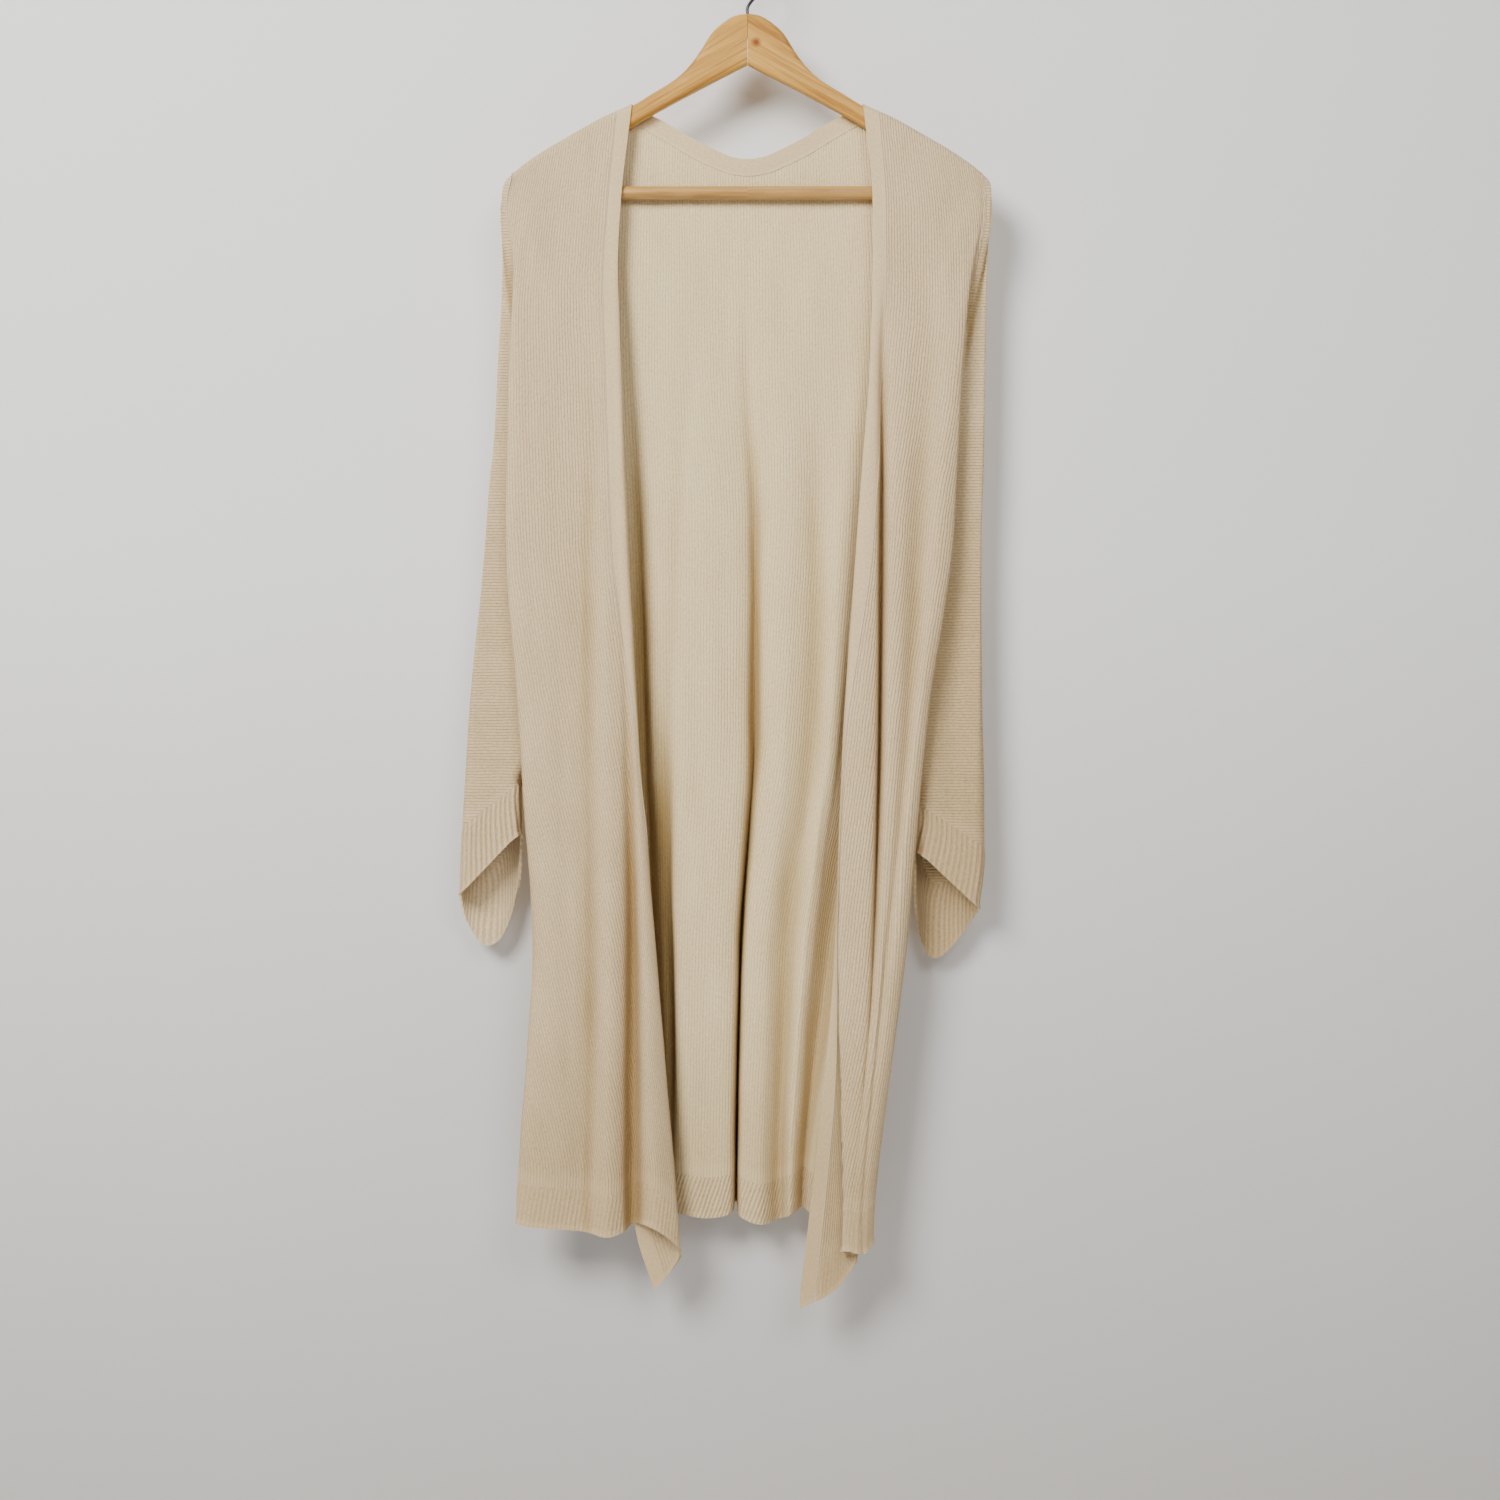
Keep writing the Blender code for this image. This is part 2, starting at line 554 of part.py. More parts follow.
def knit_wall(name, grid, normals, finish, closed=False, pitch=None, rise=0.0):
    """A wall on a grid: an outer skin, which may be ribbed, a plain inner skin and their rims.

    closed joins the last column to the first. With a pitch, each column is split into whole
    ribs outside, and every other point there is raised.
    """
    rows, cols = grid.shape[:2]
    spans = cols if closed else cols - 1
    splits = []
    for c in range(spans):
        span = np.linalg.norm(grid[-1, (c + 1) % cols] - grid[-1, c])
        splits.append(2 * max(1, round(span / pitch)) if pitch else 1)
    verts = []
    outer = []
    inner = []
    for r in range(rows):
        line = []
        for c in range(spans):
            d = (c + 1) % cols
            for k in range(splits[c]):
                t = k / splits[c]
                point = grid[r, c] * (1 - t) + grid[r, d] * t
                normal = normals[r, c] * (1 - t) + normals[r, d] * t
                lift = WALL / 2 + (rise if k % 2 else 0.0)
                line.append(len(verts))
                verts.append(point + normal / np.linalg.norm(normal) * lift)
        if not closed:
            line.append(len(verts))
            verts.append(grid[r, -1] + normals[r, -1] * WALL / 2)
        outer.append(line)
        inner.append(list(range(len(verts), len(verts) + cols)))
        verts += list(grid[r] - normals[r] * WALL / 2)
    starts = [0]
    for split in splits:
        starts.append(starts[-1] + split)
    faces = []
    for r in range(rows - 1):
        upper, lower = outer[r], outer[r + 1]
        for i in range(starts[-1]):
            j = (i + 1) % len(upper)
            faces.append((upper[i], upper[j], lower[j], lower[i]))
        for c in range(spans):
            d = (c + 1) % cols
            faces.append((inner[r][c], inner[r + 1][c], inner[r + 1][d], inner[r][d]))
        if not closed:
            faces.append((upper[0], lower[0], inner[r + 1][0], inner[r][0]))
            faces.append((upper[-1], inner[r][-1], inner[r + 1][-1], lower[-1]))
    for r in (0, rows - 1):
        for c in range(spans):
            d = (c + 1) % cols
            rim = [outer[r][i % len(outer[r])] for i in range(starts[c], starts[c + 1] + 1)]
            rim += [inner[r][d], inner[r][c]]
            faces.append(rim if r == 0 else rim[::-1])
    return add_object(name, verts, faces, finish)


def towards(normals, row, column, y_sign):
    """The normals, all turned over if the one named doesn't point the way asked along Y."""
    return normals if normals[row, column, 1] * y_sign > 0 else -normals


def front_panel(side, folds, free_columns, cloth, rib_cloth, band_cloth):
    word = "right" if side < 0 else "left"
    grid = panel_grid(folds, shoulder, -1, FREE_FROM, free_columns, BAND_COLUMNS)
    normals = towards(grid_normals(grid), BODY_ROWS // 2, FLAT_COLUMN, -1)
    seam = grid.shape[1] - 1 - BAND_COLUMNS
    pieces = (
        (f"front_{word}", slice(0, -1), slice(0, seam + 1), cloth),
        (f"hem_rib_front_{word}", slice(-2, None), slice(0, seam + 1), rib_cloth),
        (f"front_band_{word}", slice(0, None), slice(seam, None), band_cloth),
    )
    for name, down, across, finish in pieces:
        piece = grid[down, across].copy()
        ribbed = name.startswith("hem")
        if name.startswith("front_band"):
            draw_in(piece, 1, 0, SEAM_GAP / 2)
        else:
            draw_in(piece, 1, -1, SEAM_GAP / 2)
            draw_in(piece, 1, 0, SEAM_GAP / 2)
            draw_in(piece, 0, 0 if ribbed else -1, SEAM_GAP / 2)
        pitch = HEM_RIB_PITCH if ribbed else None
        knit_wall(name, piece, normals[down, across], finish, pitch=pitch, rise=HEM_RIB_RISE)


def back_panel(cloth, rib_cloth):
    grid = panel_grid(BACK, back_top, 1, len(BACK) - 1, 0, 0)
    normals = towards(grid_normals(grid), BODY_ROWS // 2, grid.shape[1] // 2, 1)
    for name, down, finish in (("back", slice(0, -1), cloth), ("hem_rib_back", slice(-2, None), rib_cloth)):
        piece = grid[down].copy()
        ribbed = name.startswith("hem")
        for index in (0, -1):
            draw_in(piece, 1, index, 2 * SEAM_GAP)
        draw_in(piece, 0, 0 if ribbed else -1, SEAM_GAP / 2)
        pitch = HEM_RIB_PITCH if ribbed else None
        knit_wall(name, piece, normals[down], finish, pitch=pitch, rise=HEM_RIB_RISE)


def neck_band(band_cloth):
    """The band across the back neck, from one shoulder line to the other."""
    turn = NECK_TURN_SHARES
    middle = [turn[-1] + (1 - 2 * turn[-1]) * c / NECK_COLUMNS for c in range(1, NECK_COLUMNS)]
    shares = list(turn) + middle + [1 - s for s in turn[::-1]]
    lines = []
    for table in (
        neck_curve(NECK_EDGE, NECK_HALF_WIDTH),
        neck_curve(NECK_SEAM, NECK_HALF_WIDTH + BAND_WIDTH),
    ):
        xs = np.linspace(table[0][0], table[-1][0], NECK_LINE_POINTS)
        points = np.array([(x, 0.0, table_curve(table, x)) for x in xs])
        lengths = lengths_along(points)
        lines.append(np.array([along(points, lengths, s * lengths[-1]) for s in shares]))
    grid = np.array([lines[0] * (1 - t) + lines[1] * t for t in NECK_ROW_SHARES])
    draw_in(grid, 0, -1, 2 * SEAM_GAP)
    for row in grid:
        for point in row:
            point[1] = back_depth(point[0], point[2])
    normals = towards(grid_normals(grid), 1, len(shares) // 2, 1)
    knit_wall("neck_band", grid, normals, band_cloth)


def armhole_marks(folds):
    """Where the sleeve's columns lie down the armhole: the panels' rows, then its rounded end."""
    rows = row_heights(folds[0], shoulder(folds[0].top))
    rows = rows[2:len(ARCH_TURNS) + UNDERARM_ROW + 1]
    return rows[:-1] + [UNDERARM + reach for reach in UNDERARM_TURN]


def ring_points(ring, heights):
    """One sleeve ring as a loop: down its front half from over to under, then up its back half."""
    over = np.array((ring.over_x, 0.0, ring.over_z))
    under = np.array((ring.under_x, 0.0, ring.under_z))
    line = under - over
    length = np.linalg.norm(line)
    line /= length
    arch = len(ARCH_TURNS) - 1
    first, last = heights[arch - 1], heights[-len(UNDERARM_TURN)]
    half_over = by_height(SLEEVE_DEPTH, ring.over_z, 2)
    half_under = by_height(SLEEVE_DEPTH, ring.under_z, 2)
    turn_over = min(half_over * RING_TURN_SHARE, length * RING_TURN_LIMIT)
    turn_under = min(half_under * RING_TURN_SHARE, length * RING_TURN_LIMIT)
    marks = [(0.0, ARCH_FLAT / ARCH_DEPTH)]
    for angle in ARCH_TURNS[1:]:
        share = (ARCH_FLAT + ARCH_RADIUS * math.sin(angle)) / ARCH_DEPTH
        marks.append((turn_over * (1 - math.cos(angle)), share))
    for z in heights[arch:-len(UNDERARM_TURN)]:
        share = (z - first) / (last - first)
        marks.append((turn_over + (length - turn_over - turn_under) * share, 1.0))
    for angle in UNDERARM_ANGLES:
        marks.append((length - turn_under * (1 - math.cos(angle)), math.sin(angle)))

    def place(distance, depth, face):
        share = distance / length
        base = over + line * distance
        sag = 0.0
        if face > 0 and share < 1:
            sag = ring.drop * max(0.0, math.sin(math.pi * share ** ring.lean)) ** ring.blunt
        z = base[2] - sag
        middle = by_height(SLEEVE_DEPTH, z, 1)
        return np.array((base[0], middle + face * by_height(SLEEVE_DEPTH, z, 2) * depth, z))

    front = [place(d, e, -1) for d, e in marks]
    back = [place(d, e, 1) for d, e in marks[:-1]]
    return np.array(front + back[::-1])


def armhole_loop(heights, folds, back_fold, side):
    """The sleeve's first ring, just outside the side edges of the front and the back."""
    top = shoulder(folds[0].top)
    front = []
    back = []
    for i, z in enumerate([top] + heights):
        a = fold_point(folds[0], z, top, -1)
        b = fold_point(back_fold, z, top, 1)
        if i < len(ARCH_TURNS):
            depth = ARCH_FLAT + ARCH_RADIUS * math.sin(ARCH_TURNS[i])
            a[1], b[1] = -depth, depth
        stack = ease((STACK_FROM - z) / STACK_OVER)
        beside = side * SEAM_GAP * (1 - stack)
        a += np.array((beside, STACK_BEHIND * stack, 0.0))
        b += np.array((side * SEAM_GAP, 0.0, 0.0))
        front.append(a)
        back.append(b)
    close = [1 - math.sin(angle) for angle in UNDERARM_ANGLES]
    for k, share in zip(range(-len(close), 0), close):
        middle = (front[k] + back[k]) / 2
        front[k] += (middle - front[k]) * share
        back[k] += (middle - back[k]) * share
    return np.array(front + back[-2::-1])


def sleeve(side, folds, rings, cloth, rib_cloth):
    word = "right" if side < 0 else "left"
    heights = armhole_marks(folds)
    stations = range(len(rings))
    fields = list(zip(*rings))
    places = [k / SLEEVE_STEPS for k in range((len(rings) - 2) * SLEEVE_STEPS + 1)]
    places += [len(rings) - 1.5, len(rings) - 1.0]
    loops = []
    for at in places:
        values = [steady(at, stations, column) for column in fields]
        loops.append(ring_points(Ring(*values), heights))
    first = armhole_loop(heights, folds, BACK[0] if side < 0 else BACK[-1], side)
    change = first - loops[0]
    grid = np.array([
        loop + change * (1 - ease(at / ARMHOLE_BLEND)) for at, loop in zip(places, loops)
    ])
    normals = grid_normals(grid, closed_columns=True)
    middle = grid.mean(axis=1, keepdims=True)
    if ((grid - middle) * normals).sum() < 0:
        normals = -normals
    tube = grid[:-2].copy()
    draw_in(tube, 0, -1, SEAM_GAP / 2)
    knit_wall(f"sleeve_{word}", tube, normals[:-2], cloth, closed=True)
    cuff = grid[-3:].copy()
    draw_in(cuff, 0, 0, SEAM_GAP / 2)
    knit_wall(
        f"cuff_{word}", cuff, normals[-3:], rib_cloth, closed=True,
        pitch=CUFF_RIB_PITCH, rise=CUFF_RIB_RISE,
    )


def cut_away(obj, cutter):
    cut = obj.modifiers.new("bore", "BOOLEAN")
    cut.operation = "DIFFERENCE"
    cut.object = cutter
    cutter.hide_render = True
    cutter.display_type = "WIRE"


def round_bar(name, radius, length, location, along_x, finish, sides=BAR_SIDES):
    bm = bmesh.new()
    bmesh.ops.create_cone(
        bm, cap_ends=True, segments=sides, radius1=radius * MM, radius2=radius * MM, depth=length * MM
    )
    mesh = bpy.data.meshes.new(name)
    bm.to_mesh(mesh)
    bm.free()
    obj = bpy.data.objects.new(name, mesh)
    bpy.context.scene.collection.objects.link(obj)
    obj.location = [c * MM for c in location]
    if along_x:
        obj.rotation_euler = (0, math.pi / 2, 0)
    mesh.materials.append(finish)
    mesh.shade_smooth()
    mesh.set_sharp_from_angle(angle=ROD_SHARP_ANGLE)
    return obj


def hanger_arm(side, wood):
    """One half of the wooden body, from the glued joint in the middle to the shoulder."""
    word = "right" if side < 0 else "left"
    outline = list(ARM_TOP_INNER) + list(ARM_TOP_OUTER) + list(ARM_TIP) + list(ARM_UNDER)
    gap = SEAM_GAP / 2
    outline = [(side * max(x, gap), z) for x, z in outline]
    half = ARM_THICK / 2
    count = len(outline)
    verts = [(x, -half, z) for x, z in outline] + [(x, half, z) for x, z in outline]
    faces = [tuple(range(count)), tuple(range(2 * count - 1, count - 1, -1))]
    for i in range(count):
        j = (i + 1) % count
        faces.append((i, i + count, j + count, j))
    arm = add_object(f"hanger_arm_{word}", verts, faces, wood, smooth=False)
    mesh = arm.data
    weight = mesh.attributes.new("bevel_weight_edge", "FLOAT", "EDGE")
    for edge in mesh.edges:
        a, b = edge.vertices
        on_face = (a < count) == (b < count)
        on_joint = all(abs(outline[v % count][0]) <= gap for v in (a, b))
        weight.data[edge.index].value = 1.0 if on_face and not on_joint else 0.0
    bevel = arm.modifiers.new("rounded edges", "BEVEL")
    bevel.width = ARM_EDGE_ROUND * MM
    bevel.segments = 2
    bevel.limit_method = "WEIGHT"
    socket = round_bar(
        f"socket_cutter_{word}", BAR_DIAMETER / 2 + BAR_SOCKET_PLAY, BAR_HALF_LENGTH,
        (side * (BAR_HALF_LENGTH / 2 + BAR_SOCKET_PLAY), 0, BAR_HEIGHT), True, wood,
    )
    cut_away(arm, socket)
    stem = round_bar(
        f"stem_cutter_{word}", WIRE_DIAMETER / 2 + SEAM_GAP, STEM_CUTTER_LENGTH,
        (0, 0, STEM_HOLE_END + STEM_CUTTER_LENGTH / 2), False, wood, sides=STEM_HOLE_SIDES,
    )
    cut_away(arm, stem)


def hook(steel):
    """A wire hook: a straight stem, a bend back, and an open round over the rail."""
    radius = HOOK_INSIDE_RADIUS + WIRE_DIAMETER / 2
    points = list(HOOK_STEM)
    for step in range(HOOK_ROUND_STEPS + 1):
        angle = math.radians(HOOK_ROUND_FROM + (HOOK_ROUND_TO - HOOK_ROUND_FROM) * step / HOOK_ROUND_STEPS)
        points.append((radius * math.cos(angle), radius * math.sin(angle) - HOOK_INSIDE_RADIUS))
    dense = [(x, 0, z) for x, z in points]
    curve = bpy.data.curves.new("hanger_hook", "CURVE")
    curve.dimensions = "3D"
    curve.bevel_depth = WIRE_DIAMETER / 2 * MM
    curve.bevel_resolution = 2
    curve.use_fill_caps = True
    spline = curve.splines.new("POLY")
    spline.points.add(len(dense) - 1)
    for slot, point in zip(spline.points, dense):
        slot.co = (*(c * MM for c in point), 1.0)
    curve.materials.append(steel)
    obj = bpy.data.objects.new("hanger_hook", curve)
    bpy.context.scene.collection.objects.link(obj)


def main():
    remove_all()
    cloth = material("cream_fine_knit", FINE_KNIT)
    rib_cloth = material("cream_rib_knit", RIB_KNIT)
    band_cloth = material("cream_band_knit", BAND_KNIT)
    wood = material("pale_varnished_wood", PALE_WOOD)
    steel = material("black_lacquered_wire", BLACK_WIRE)
    front_panel(-1, FRONT_RIGHT, FREE_COLUMNS_RIGHT, cloth, rib_cloth, band_cloth)
    front_panel(1, FRONT_LEFT, FREE_COLUMNS_LEFT, cloth, rib_cloth, band_cloth)
    back_panel(cloth, rib_cloth)
    neck_band(band_cloth)
    sleeve(-1, FRONT_RIGHT, SLEEVE_RIGHT, cloth, rib_cloth)
    sleeve(1, FRONT_LEFT, SLEEVE_LEFT, cloth, rib_cloth)
    for side in (-1, 1):
        hanger_arm(side, wood)
    round_bar("hanger_bar", BAR_DIAMETER / 2, 2 * BAR_HALF_LENGTH, (0, 0, BAR_HEIGHT), True, wood)
    hook(steel)


main()
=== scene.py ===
# A long open kimono jacket in fine cream knit on a wooden hanger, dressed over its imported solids.
# Metres, +Z up, the front faces -Y. The tables are in millimetres.

import math
from collections import namedtuple

import bpy
import numpy as np
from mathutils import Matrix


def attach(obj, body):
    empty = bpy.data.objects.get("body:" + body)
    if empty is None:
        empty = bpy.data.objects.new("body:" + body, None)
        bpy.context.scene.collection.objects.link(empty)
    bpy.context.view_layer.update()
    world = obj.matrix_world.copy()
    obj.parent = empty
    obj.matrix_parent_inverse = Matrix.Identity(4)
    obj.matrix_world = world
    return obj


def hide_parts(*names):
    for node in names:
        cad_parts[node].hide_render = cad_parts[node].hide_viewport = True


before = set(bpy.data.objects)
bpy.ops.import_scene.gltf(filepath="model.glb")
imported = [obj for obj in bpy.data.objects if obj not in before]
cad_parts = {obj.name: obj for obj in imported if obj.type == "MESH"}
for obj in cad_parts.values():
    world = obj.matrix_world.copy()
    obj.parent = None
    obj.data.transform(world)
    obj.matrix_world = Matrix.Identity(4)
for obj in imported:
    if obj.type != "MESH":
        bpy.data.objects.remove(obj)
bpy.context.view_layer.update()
print("stage: frame loaded")

mm = 0.001
wall = 1.2
seamGap = 0.3

# Hanger sizes, as in the solids.
armThick = 13.0
armEdgeRound = 5.0
barDiameter = 12.0
barHeight = -226.0
barHalfLength = 206.0
wireDiameter = 3.0
hookInsideRadius = 18.0
hookStem = ((0, -82), (0, -70), (0, -60), (0, -54), (3.5, -48), (9, -42))
hookRound = (-50, 205, 34)
armTopInner = ((0, -60), (12, -62), (26, -71), (34, -79), (44, -95), (53.5, -108), (67, -121))
armTopOuter = (
    (88, -134), (107, -145.6), (135, -158.5), (161, -173), (193, -192), (214, -207.5), (221, -214.5),
)
armTip = ((224, -222), (222.5, -231), (214, -238))
armUnder = ((203, -235.5), (185, -222), (150, -195.5), (114, -169), (67, -142), (0, -107))

# Cloth over the arm, and the jacket's own sizes.
restGap = 0.6
armSlope = math.radians(30.0)
bandWidth = 16.0
hemRibHeight = 38.0
underarm = -560.0
neckHalfWidth = 107.0
neckEdge = ((0, -192.5), (12, -191), (29, -184.5), (48, -175), (67, -164), (80, -156.5), (94, -150))
neckSeam = ((0, -208.5), (14, -207), (36, -199), (56, -189), (75, -177.5), (90, -168.5), (106, -160))
settleOver = 20.0
backJoinOver = 30.0
stackFrom = -238
stackOver = 60
armholeBlend = 2.6
freeFrom = 7
archFlat = armThick / 2 - armEdgeRound
archRadius = armEdgeRound + restGap + wall / 2
archDrop = archRadius / math.cos(armSlope)
archDepth = archFlat + archRadius

# How finely the cloth is divided.
archSteps = 7
rowsToUnderarm = 44
rowsBelow = 74
ribRows = 12
columnStep = 1.9
archTurns = [math.radians(90.0 * k / archSteps) for k in range(archSteps + 1)]
sharpAngles = {"knit": math.radians(62), "wood": math.radians(38), "tube": math.radians(50)}
stepsBetween = 8
underarmReach = 9.0
underarmAngles = [math.radians(a) for a in (90, 75, 60, 45, 30, 15, 0)]

# Each fold is one line down the cloth: where its hem ends, its x on the shoulder, then x and y at heights.
heights = (-240, -300, -380, -540, -730, -940, -1180, -1250)
fold = namedtuple("fold", "name hem top x y")

frontRightFolds = (
    fold("side seam", -1172, -217, (-223, -214, -204, -186, -176, -166, -152, -150),
         (-7.4, -3, 0, 3, 4, 4, 4, 4)),
    fold("behind turn", -1178, -215, (-223, -215, -215, -217, -205, -193, -206, -206),
         (-7.6, -6, -6, -5, -5, -6, -8, -8)),
    fold("turn", -1181, -212.5, (-222, -216.5, -220, -223, -211, -199.5, -213, -213),
         (-8, -8.5, -10, -10, -10, -11, -13, -13)),
    fold("before turn", -1183, -209, (-218, -214, -215, -217, -204, -193, -206, -206),
         (-8.5, -10.5, -14, -15, -15, -16, -18, -18)),
    fold("side ridge", -1185, -197, (-204, -202, -200, -198, -187, -178, -185, -185),
         (-8.6, -10, -13, -16, -17, -18, -20, -20)),
    fold("side flat", -1187, -172, (-178, -178, -176, -172, -166, -161, -166, -166),
         (-8.6, -9, -11, -13, -14, -14, -16, -16)),
    fold("soft valley", -1190, -150, (-151, -150, -143, -149, -148, -145, -148, -148),
         (-8.8, -8.8, -9.5, -10, -10, -10, -12, -12)),
    fold("middle ridge", -1193, -140, (-142, -141, -136, -133, -130, -127, -129, -129),
         (-8.8, -9.4, -12, -16, -18, -19, -21, -21)),
    fold("groove lip", -1190, -133, (-132, -134, -130, -125, -118, -116, -117, -117),
         (-9, -9.6, -12.5, -16, -16, -14, -15, -15)),
    fold("groove", -1185, -126, (-126, -129, -125, -120.5, -111, -107, -108, -108),
         (-9, -9.5, -12.5, -15.5, -11, -1, 0, 0)),
    fold("inner ridge", -1184, -118, (-122, -124.5, -121, -116, -105.5, -94, -88, -86),
         (-9, -9.6, -13, -16, -15, -17, -19, -19)),
    fold("roll", -1208, -109, (-118.4, -121.2, -118.4, -112.8, -101.6, -84.5, -65, -62),
         (-8.8, -9.5, -12.5, -15, -14, -13, -13, -12)),
    fold("behind roll", -1226, -108, (-118, -120.8, -118, -112.4, -101.4, -87, -74, -67),
         (-8.8, -9.3, -12, -14, -12.5, -7, -4, -4)),
    fold("free edge", -1247, -107, (-117.7, -120.5, -117.7, -112, -101.2, -94, -105, -86),
         (-8.7, -9.1, -11.5, -13, -11, -3, 1, -1)),
)
frontLeftFolds = (
    fold("side seam", -1178, 217, (221, 211, 190, 160, 130, 95, 60, 58),
         (-7.4, -3, 1, 3, 4, 5, 6, 6)),
    fold("behind turn", -1190, 215, (218.5, 208, 194, 186, 160, 140, 111, 110),
         (-7.6, -6, -6, -5, -5, -5, -5, -5)),
    fold("turn", -1200, 212.5, (217, 208, 199, 191, 165, 145.5, 117, 115),
         (-8, -8.5, -10, -10, -10, -10, -12, -12)),
    fold("before turn", -1204, 209, (214, 204, 194, 186, 161, 140, 112, 110),
         (-8.5, -10.5, -14, -15, -15, -16, -18.5, -18.5)),
    fold("side ridge", -1208, 197, (200, 194, 186, 177, 156, 134, 109, 108),
         (-8.6, -10, -14, -17, -17, -18, -19.5, -20)),
    fold("soft valley", -1208, 176, (178, 174, 166, 157, 148, 128, 106, 105),
         (-8.6, -9, -10, -9, -11, -15, -18.5, -19)),
    fold("middle ridge", -1208, 158, (158, 152, 146, 142, 138, 124, 103.5, 102.5),
         (-8.8, -9.6, -13, -17, -18, -18, -19.5, -20)),
    fold("groove lip", -1208, 144, (138, 134, 132, 131.5, 129.5, 120, 101, 100),
         (-8.8, -9.6, -12, -16, -17, -16, -19.5, -20)),
    fold("groove", -1208, 138, (132, 129, 125, 124, 122, 116, 99, 98),
         (-8.8, -9.3, -7, -2, -1, -9, -19, -19.5)),
    fold("inner lip", -1207, 133, (128, 125, 121, 119.5, 117, 112, 97, 96),
         (-8.8, -9.6, -12, -15, -16, -16, -19, -19.5)),
    fold("inner ridge", -1206, 126, (123, 121.5, 118, 112, 106, 101, 94.5, 93.5),
         (-8.8, -9.8, -13, -17, -18, -18, -19, -19.5)),
    fold("before pleat", -1206, 115, (119.5, 119, 116.4, 106.5, 94.5, 87, 91, 91),
         (-8.8, -9.7, -12.9, -16.4, -16.8, -16.6, -18.6, -19)),
    fold("pleat fold", -1207, 112, (118, 118, 115.6, 104.5, 92, 84, 88.4, 88.4),
         (-8.8, -9.6, -12.8, -16, -16, -15, -16.8, -17)),
    fold("behind pleat", -1209, 111, (117.7, 117.7, 115.3, 104.1, 91.5, 84, 90.6, 90.6),
         (-8.8, -9.5, -12.6, -15.7, -15.4, -13.4, -14.6, -14.8)),
    fold("before inner turn", -1213, 110, (117.4, 117.4, 115, 103.8, 91.1, 84.4, 99, 99),
         (-8.8, -9.4, -12.4, -15.4, -14.8, -11.8, -12.9, -13)),
    fold("inner turn", -1217, 109.4, (117.1, 117.1, 114.7, 103.5, 90.7, 84.6, 102, 102),
         (-8.8, -9.3, -12.2, -15.1, -14.3, -10.2, -10.8, -10.8)),
    fold("after inner turn", -1222, 108.8, (116.8, 116.8, 114.4, 103.2, 90.3, 84.1, 99, 99),
         (-8.7, -9.2, -12, -14.8, -13.8, -8.7, -8.4, -8.4)),
    fold("tail", -1247, 108, (116.5, 116.5, 114.1, 102.8, 89.8, 82.8, 82, 79),
         (-8.7, -9.2, -11.7, -14.4, -13, -6.8, -6, -6)),
    fold("free edge", -1263, 107, (116, 116, 113.6, 102, 89, 80.5, 57, 48.5),
         (-8.6, -9, -11, -13.5, -12, -5, -5, -5)),
)
